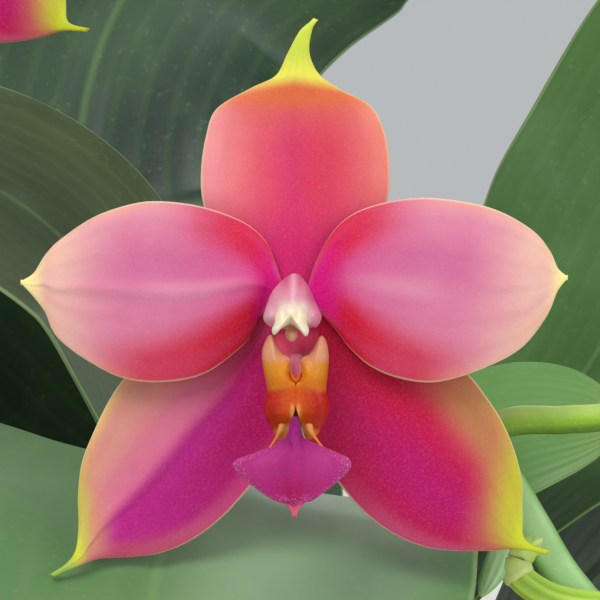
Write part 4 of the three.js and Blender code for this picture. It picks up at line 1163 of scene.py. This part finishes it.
def chip_parts(place, turn, size, seed, tone, steps=10):
    """One bark chunk: a rounded box, layered across its thickness and broken at its ends."""
    g = np.linspace(-1, 1, steps)
    parts = []
    for axis in range(3):
        for side in (-1, 1):
            a, b = np.meshgrid(g, g, indexing="ij")
            c = np.full_like(a, side)
            xyz = [None] * 3
            xyz[axis], xyz[(axis + 1) % 3], xyz[(axis + 2) % 3] = c, a, b
            faces = grid_faces(steps, steps)
            parts.append((np.stack(xyz, -1).reshape(-1, 3), faces if side > 0 else faces[:, ::-1], {}))
    points, faces, _ = gather(parts)
    # Weld the six sides into one closed skin
    _, first, where = np.unique(np.round(points, 6), axis=0, return_index=True, return_inverse=True)
    points = points[first]
    faces = [[int(where.ravel()[k]) for k in face] for face in faces]
    box = np.array(size) / 2
    soft = points / np.maximum(1, (np.abs(points) ** 7).sum(-1, keepdims=True) ** (1 / 7))
    p = soft * box
    layers = 0.35 * np.sin(points[:, 2] * 7 + 2 * noise(p, 5, seed))
    rough = 0.9 * noise(p, 4.5, seed + 1) + 0.45 * noise(p, 1.9, seed + 2)
    p = p + unit(soft) * (rough + layers * (np.abs(points[:, 2]) < 0.99))[:, None]
    rotation = np.array(Euler(turn, "XYZ").to_matrix())
    return p @ rotation.T + np.array(place), faces, {"tone": np.full(len(p), tone)}


def pot_inner_radius(z):
    """The inner wall of POT_PROFILE runs from 36 mm at 7 mm high to 54 mm at 106 mm."""
    return lerp(36, 54, (z - 7) / 99)


FILL_TOP = 94.5
WALL_GAP = 0.6
# Count, reach from the middle, box, sizes, tilts, first angle, level and lift of the chips
BARK_CHIPS = (
    (30, pot_inner_radius(95) - 13.6, (20, 13, 8), (0.75, 1.1), (0.5, 0.4), 0, 95, (-1, 2.6)),
    (90, 46, (17, 11, 7), (0.35, 0.7), (0.8, 0.8), 1, 97.5, (-1.5, 2.5)),
)


def bark_piece():
    draw = seeded_draws(7)
    parts, chips = [], []
    for count, reach, box, sizes, tilts, start, level, lift in BARK_CHIPS:
        for k in range(count):
            radius = reach * math.sqrt((k + 0.5) / count)
            angle = math.pi * (3 - math.sqrt(5)) * k + start
            size = lerp(*sizes, draw())
            turn = (lerp(-tilts[0], tilts[0], draw()), lerp(-tilts[1], tilts[1], draw()), TURN * draw())
            place = (radius * math.cos(angle), radius * math.sin(angle), level + lerp(*lift, draw()))
            chips.append((place, turn, [side * size for side in box], 10 if count < 50 else 7))
    for k, (place, turn, size, steps) in enumerate(chips):
        parts.append(chip_parts(place, turn, size, 100 + 3 * k, draw(), steps))
    # The fill below the chips, up to the wall
    rings, sides = 26, 120
    angle = np.arange(sides) * TURN / sides
    rows = [(0.02 + 0.98 * k / rings) * (pot_inner_radius(FILL_TOP) - WALL_GAP) for k in range(rings + 1)]
    r, a = np.meshgrid(rows, angle, indexing="ij")
    top = np.stack([r * np.cos(a), r * np.sin(a), np.full_like(r, FILL_TOP)], -1)
    top[..., 2] += 1.2 * noise(top, 6, 5) + 0.8 * noise(top, 2.4, 6)
    wall = [(pot_inner_radius(z) - WALL_GAP, z) for z in (70, 40, 7.3)]
    side = np.array([[[q * math.cos(b), q * math.sin(b), z] for b in angle] for q, z in wall])
    points = np.concatenate([top, side]).reshape(-1, 3)
    tone = 0.25 + 0.2 * noise(points, 5, 9)
    parts.append((points, tube_faces(rings + 1 + len(wall), sides), {"tone": tone}))
    points, faces, values = gather(parts)
    tones = [("tone", values["tone"])]
    return make_piece("bark_chips", points, faces, bark_material("bark"), tones, "bark", ("bark_mix",))


# Flower spikes
RIGHT_BEND = [19.5, -58.2, 175.2]
RIGHT_PEDUNCLE = [
    [4, 1, 104], [20, -25, 112], [35, -44, 124], [43, -54, 137], [40.5, -57, 147], [34, -57.2, 154.5],
]
RIGHT_RACHIS = [[36, -57.2, 152], [30.6, -57.2, 158.6], [27.4, -57.4, 164], [23.4, -58, 170.5], RIGHT_BEND]
RIGHT_UPPER_STALK = [
    [20.5, -58.2, 174.4], [25, -58.4, 176], [31, -58, 176.2], [37.5, -57, 177], [47.5, -55, 183],
]
RIGHT_LOWER_STALK = [
    [28.4, -56.8, 162.3], [26.2, -58, 161.2], [25, -59.1, 159.6], [25.9, -59.6, 158.1], [29, -59.8, 156.1],
    [34.7, -59.3, 155], [41, -58.2, 155.4], [48.5, -56.5, 160],
]
COLLAR = [[28.4, -56.8, 162.3], [26.2, -58, 161.2], [25, -59.1, 159.6], [25.9, -59.6, 158.1]]
FIRST_PEDICEL = [RIGHT_BEND, [12.5, -57, 179], [5.5, -59.5, 184.5], [0.8, -65, 189.2], [0, -70.4, 190]]
LEFT_PEDUNCLE = [
    [-3, 2, 103], [-16, -22, 112], [-34, -45, 120], [-51, -60, 137], [-60, -61, 160], [-65, -53, 186],
    [-69.3, -34.5, 208],
]
LEFT_RACHIS = [[-69, -36, 206], [-71, -25, 222], [-67, -22.5, 240], [-71.5, -22, 254], [-67, -22, 267]]
SECOND_TURN = np.array(Euler(SECOND_BLOOM_TURN).to_matrix())
LEFT_PEDICEL = [
    [-67, -22.5, 240], [-61.5, -21, 243],
    (SECOND_TURN @ np.array([-1, 8, -1]) + SECOND_BLOOM_PLACE).tolist(),
    (SECOND_TURN @ np.array([0, 1.6, 0]) + SECOND_BLOOM_PLACE).tolist(),
]


def stalk_material(name):
    n = Nodes(name)
    tint = n.attribute("tint", "Color")
    wash = n.noise(240.0, 3.0)
    fine = n.noise(2200.0, 2.0)
    base = n.stain(tint, 0xC4E2AA, wash, 0.35, 0.72, 0.35)
    base = n.lay(base, 0xDEEEAA, fine, 0.52, 0.76, 0.1)
    normal = n.relief(n.plus(n.times(fine, 0.5), wash), 0.3, 0.0002)
    return n.finish(
        base, n.span(wash, 0.3, 0.7, 0.32, 0.46), normal, Subsurface_Weight=0.16,
        Subsurface_Radius=(0.6, 0.9, 0.2), Subsurface_Scale=0.0016, Specular_IOR_Level=0.5,
        Coat_Weight=0.12, Coat_Roughness=0.35,
    )


def round_stalk(points, rows, start, end, nodes=()):
    """A stalk that runs from one radius to another and swells a little at its nodes."""
    def reach(u, a):
        radius = lerp(start, end, u)
        for node in nodes:
            radius = radius + 0.45 * bump(u, node, 0.012) + 0.25 * bump(u, node + 0.03, 0.02)
        ridges = 0.05 * np.cos(5 * a + 3 * u) * radius
        return radius + ridges, radius + ridges

    return rod_parts(Curve(points), rows, 28, reach, (0.35, 0.3, -0.88))


def ridged_stalk(points, rows, radius):
    def reach(u, a):
        ridge = 1 + 0.13 * np.cos(6 * a + 0.8 * u) * np.sin(math.pi * np.minimum(1, u + 0.15))
        swell = 1 + 0.08 * ramp(u, 0.75, 1)
        return radius * ridge * swell, radius * ridge * swell

    return rod_parts(Curve(points), rows, 60, reach, (0, 0.35, 0.94))


def stalk_tint(v, kind):
    u, a = v["u"], v["angle"]
    # How far each side faces down, for the painted light of the round stalks
    low = np.sin(a)
    # Where the ridged stalks' grooves lie; the pedicels get painted shade there
    groove = 0.5 - 0.5 * np.cos(6 * a + 0.8 * u)
    if kind == "pedicel":
        # Pedicels: painted shade, darker green in the grooves between the ridges
        return paint(0xB8DA54, (0x92BA22, 0.7 * groove), (0xD4E896, 0.6 * ramp(u, 0.12, 0.0)))
    if kind == "rachis":
        rim = np.abs(np.cos(a)) ** 6
        return paint(0xA4CE8A, (0x70A446, 0.75 * rim), (0xBADA80, 0.4 * ramp(u, 0.6, 1)))
    if kind == "collar":
        return paint(0xCEE084, (0xA8CC56, 0.7 * bump(u, 0.5, 0.3)))
    # Round stalks: a painted highlight along the upper side and painted shade, dark olive, on the underside
    return paint(
        0x98C616,
        (0xC4E270, 0.95 * ramp(low, -0.2, -0.8)),
        (0x588000, 0.95 * ramp(low, -0.1, 0.5)),
        (0x709832, 0.5 * ramp(u, 0.5, 0.0)),
    )


BRACT_WRAP = 1.25
BRACT_FLARE = 0.35


def bract_parts(place, way, out, length, radius, rows=44, columns=30):
    """A cupped pointed bract: it clasps the stalk at place, runs along way and leans to out."""
    way = unit(np.array(way, float))
    out = np.array(out, float)
    out = unit(out - way * out.dot(way))
    side = np.cross(way, out)
    t, s = np.meshgrid(np.linspace(0, 1, rows), rounded(columns), indexing="ij")
    narrow = np.sqrt(np.clip(1 - t**2.1, 0.0, 1)) * 0.97 + 0.03
    r = radius * (1 + 0.35 * np.sin(math.pi * t) ** 0.8)
    middle = (
        np.array(place, float)
        + way * (length * t)[..., None]
        + out * (r * np.cos(BRACT_WRAP * s * narrow) + BRACT_FLARE * length * t**2)[..., None]
        + side * (r * np.sin(BRACT_WRAP * s * narrow) * (1 - 0.15 * t))[..., None]
    )
    thick = 0.5 * (0.35 + 0.65 * np.sqrt(np.clip(1 - np.abs(s) ** 6, 0, 1)))
    ribs = 0.05 * np.cos(14 * s) * np.sin(math.pi * t)
    points, faces, spread = blade_parts(middle, thick, ribs, -ribs)
    tint = paint(
        0x9AC684,
        (0xBAD8AC, 0.6 * bump(s, 0.0, 0.35)),
        (0x6CA054, 0.6 * ramp(np.abs(s), 0.55, 0.95)),
        (0xC4D696, 0.7 * ramp(np.abs(s), 0.93, 1)),
        (0xC6C478, 0.7 * ramp(t, 0.9, 1)),
    )
    return points, faces, {channel: spread(tint[..., k]) for k, channel in enumerate("rgb")}


def tinted(part, kind):
    points, faces, values = part
    return points, faces, dict(zip("rgb", stalk_tint(values, kind).T))


def gathered_piece(name, parts, node):
    points, faces, v = gather(parts)
    tint = np.column_stack([v[channel] for channel in "rgb"])
    return make_piece(name, points, faces, STALK_LOOK, [("tint", tint)], "flower_stalk", (node,))


def collar_reach(u, a):
    radius = 1.2 + 0.6 * ramp(u, 0.1, 0.45) + 0.1 * ramp(u, 0.6, 0.9) - 0.25 * ramp(u, 0.93, 1)
    return radius + 0.06 * np.cos(3 * a), radius


# Bracts: place on the stalk, way, lean, length and radius
RIGHT_BRACTS = (
    ([24, -58.4, 161.6], [-0.25, -0.1, -1], [-0.45, -0.9, 0], 6.2, 1.25),
    ([35.8, -57, 176.4], [0.8, 0.05, 0.5], [-0.3, 0.1, 0.95], 6.5, 1.6),
    ([42, -55, 141], [-0.1, -0.15, 0.98], [0.6, -0.7, 0], 9, 2.3),
    ([20, -25, 111], [0.6, -0.7, 0.3], [-0.3, -0.5, 0.8], 9, 2.4),
)
LEFT_BRACTS = (
    ([-67.5, -22.5, 239.5], [0.8, 0.1, 0.4], [0.2, -0.6, 0.7], 7, 1.8),
    ([-71.5, -22, 253.5], [-0.5, 0, 0.85], [-0.8, -0.1, -0.4], 7, 1.7),
    ([-50.5, -59.7, 136], [-0.4, -0.3, 0.85], [-0.5, -0.8, 0], 9, 2.3),
    ([-64.6, -54, 184], [-0.2, 0.4, 0.9], [-0.9, -0.2, 0], 8, 2.2),
)


def spikes():
    flat = lambda u, a: (2.1 - 0.1 * u, 1.3 + 0.1 * np.cos(2 * a))
    thin = lambda u, a: (lerp(2.1, 1.3, u), 1.3)
    right_stalk = [
        tinted(round_stalk(RIGHT_PEDUNCLE, 150, 2.3, 2.1, (0.3, 0.62)), "stalk"),
        tinted(rod_parts(Curve(RIGHT_RACHIS), 90, 36, flat), "rachis"),
        tinted(round_stalk(RIGHT_UPPER_STALK, 90, 1.7, 1.45), "stalk"),
    ]
    right_pedicels = [
        tinted(ridged_stalk(RIGHT_LOWER_STALK, 110, 1.5), "pedicel"),
        tinted(rod_parts(Curve(COLLAR), 26, 48, collar_reach, (0.3, 0.3, 0.9)), "collar"),
        tinted(ridged_stalk(FIRST_PEDICEL, 110, 1.35), "pedicel"),
    ]
    left_stalk = [
        tinted(round_stalk(LEFT_PEDUNCLE, 190, 2.3, 2.1, (0.25, 0.5, 0.75)), "stalk"),
        tinted(rod_parts(Curve(LEFT_RACHIS), 120, 36, thin), "rachis"),
    ]
    left_pedicel = [tinted(ridged_stalk(LEFT_PEDICEL, 90, 1.35), "pedicel")]
    gathered_piece("spike_right_stalk", right_stalk, "spike_right")
    gathered_piece("spike_right_pedicels", right_pedicels, "spike_right")
    gathered_piece("spike_right_bracts", [bract_parts(*bract) for bract in RIGHT_BRACTS], "spike_right")
    gathered_piece("spike_left_stalk", left_stalk, "spike_left")
    gathered_piece("spike_left_pedicel", left_pedicel, "spike_left")
    gathered_piece("spike_left_bracts", [bract_parts(*bract) for bract in LEFT_BRACTS], "spike_left")


BUD_GIRTHS = list(enumerate([0.3, 0.78, 1, 0.95, 0.68, 0.3, 0.08]))


def bud_piece(node, stalk, length):
    """A plump keeled bud: five tepals closed edge to edge show as seams down its sides."""
    start = np.array(stalk[-1], float)
    way = Curve(stalk).way(np.array([1.0]))[0]
    axis = [start + way * k for k in (0.3, 0.3 + length / 2, 0.3 + length)]

    def reach(u, a):
        girth = 0.34 * length * edge_at(BUD_GIRTHS, u)[..., 1]
        end = np.sqrt(np.clip(1 - (np.clip(0.06 - u, 0, 1) / 0.06) ** 2, 0.05, 1))
        seam = 1 + 0.06 * np.cos(5 * a) - 0.07 * bump(np.abs(np.sin(2.5 * a)), 1, 0.12) * np.sin(math.pi * u)
        return girth * seam * end, 0.9 * girth * seam * end

    points, faces, v = rod_parts(Curve(axis), 90, 80, reach)
    u, a = v["u"], v["angle"]
    tint = paint(
        0xBAC868,
        (0xD68084, 0.75 * bump(u, 0.45, 0.24) * (0.6 + 0.4 * np.cos(5 * a))),
        (0x96B64A, 0.8 * ramp(u, 0.75, 1)),
        (0xA0BE50, 0.7 * ramp(u, 0.2, 0)),
    )
    return make_piece(node + "_skin", points, faces, STALK_LOOK, [("tint", tint)], "bud", (node,))


LEAF_LOOK = leaf_material("leaf_wax")
for leaf_name in LEAVES:
    leaf(leaf_name)
stem_pieces()
pot_piece()
bark_piece()
STALK_LOOK = stalk_material("stalk_wax")
spikes()
for bud, stalk, bud_length in (
    ("bud_right_upper", RIGHT_UPPER_STALK, 13),
    ("bud_right_lower", RIGHT_LOWER_STALK, 15),
    ("bud_left", LEFT_RACHIS, 14),
):
    bud_piece(bud, stalk, bud_length)


# Stage: pale floor, soft light and the camera
def flat_material(name, tint, roughness):
    n = Nodes(name)
    wash = n.noise(1.5, 2.0)
    base = n.mix(n.span(wash, 0.3, 0.7), tint, (*(0.96 * linear(tint)), 1))
    return n.finish(base, roughness)


bpy.ops.mesh.primitive_plane_add(size=24, location=(0, 0, -0.0005))
floor = bpy.context.object
floor.name = "floor"
floor.data.materials.append(flat_material("floor_paint", 0xE2E0DA, 0.85))

world = bpy.data.worlds.new("studio")
world.use_nodes = True
world.node_tree.nodes["Background"].inputs["Color"].default_value = (0.86, 0.9, 0.92, 1)
world.node_tree.nodes["Background"].inputs["Strength"].default_value = 0.55
bpy.context.scene.world = world


def area_light(name, place, target, size, power, tint):
    data = bpy.data.lights.new(name, "AREA")
    data.shape = "DISK"
    data.size = size
    data.energy = power
    data.color = tint
    lamp = bpy.data.objects.new(name, data)
    lamp.location = place
    lamp.rotation_euler = (Vector(target) - Vector(place)).to_track_quat("-Z", "Y").to_euler()
    bpy.context.scene.collection.objects.link(lamp)


area_light("key", (-0.95, -1.9, 2.2), (0, -0.05, 0.17), 1.6, 48, (1.0, 0.98, 0.95))
area_light("fill", (2.1, -1.8, 0.9), (0, -0.05, 0.17), 2.0, 25, (0.95, 0.98, 1.0))
area_light("back", (0.6, 2.3, 1.9), (0, 0, 0.18), 2.0, 22, (1.0, 1.0, 0.96))

camera_data = bpy.data.cameras.new("camera")
camera_data.sensor_width = 36
camera_data.lens = camera_data.sensor_width * VIEW_DISTANCE / FRAME_WIDTH
camera_data.clip_start = 0.01
camera = bpy.data.objects.new("camera", camera_data)
camera.location = (0.0005, -0.372, 0.190)
camera.rotation_euler = (math.radians(90), 0, 0)
bpy.context.scene.collection.objects.link(camera)
bpy.context.scene.camera = camera
bpy.context.scene.view_settings.view_transform = "Standard"
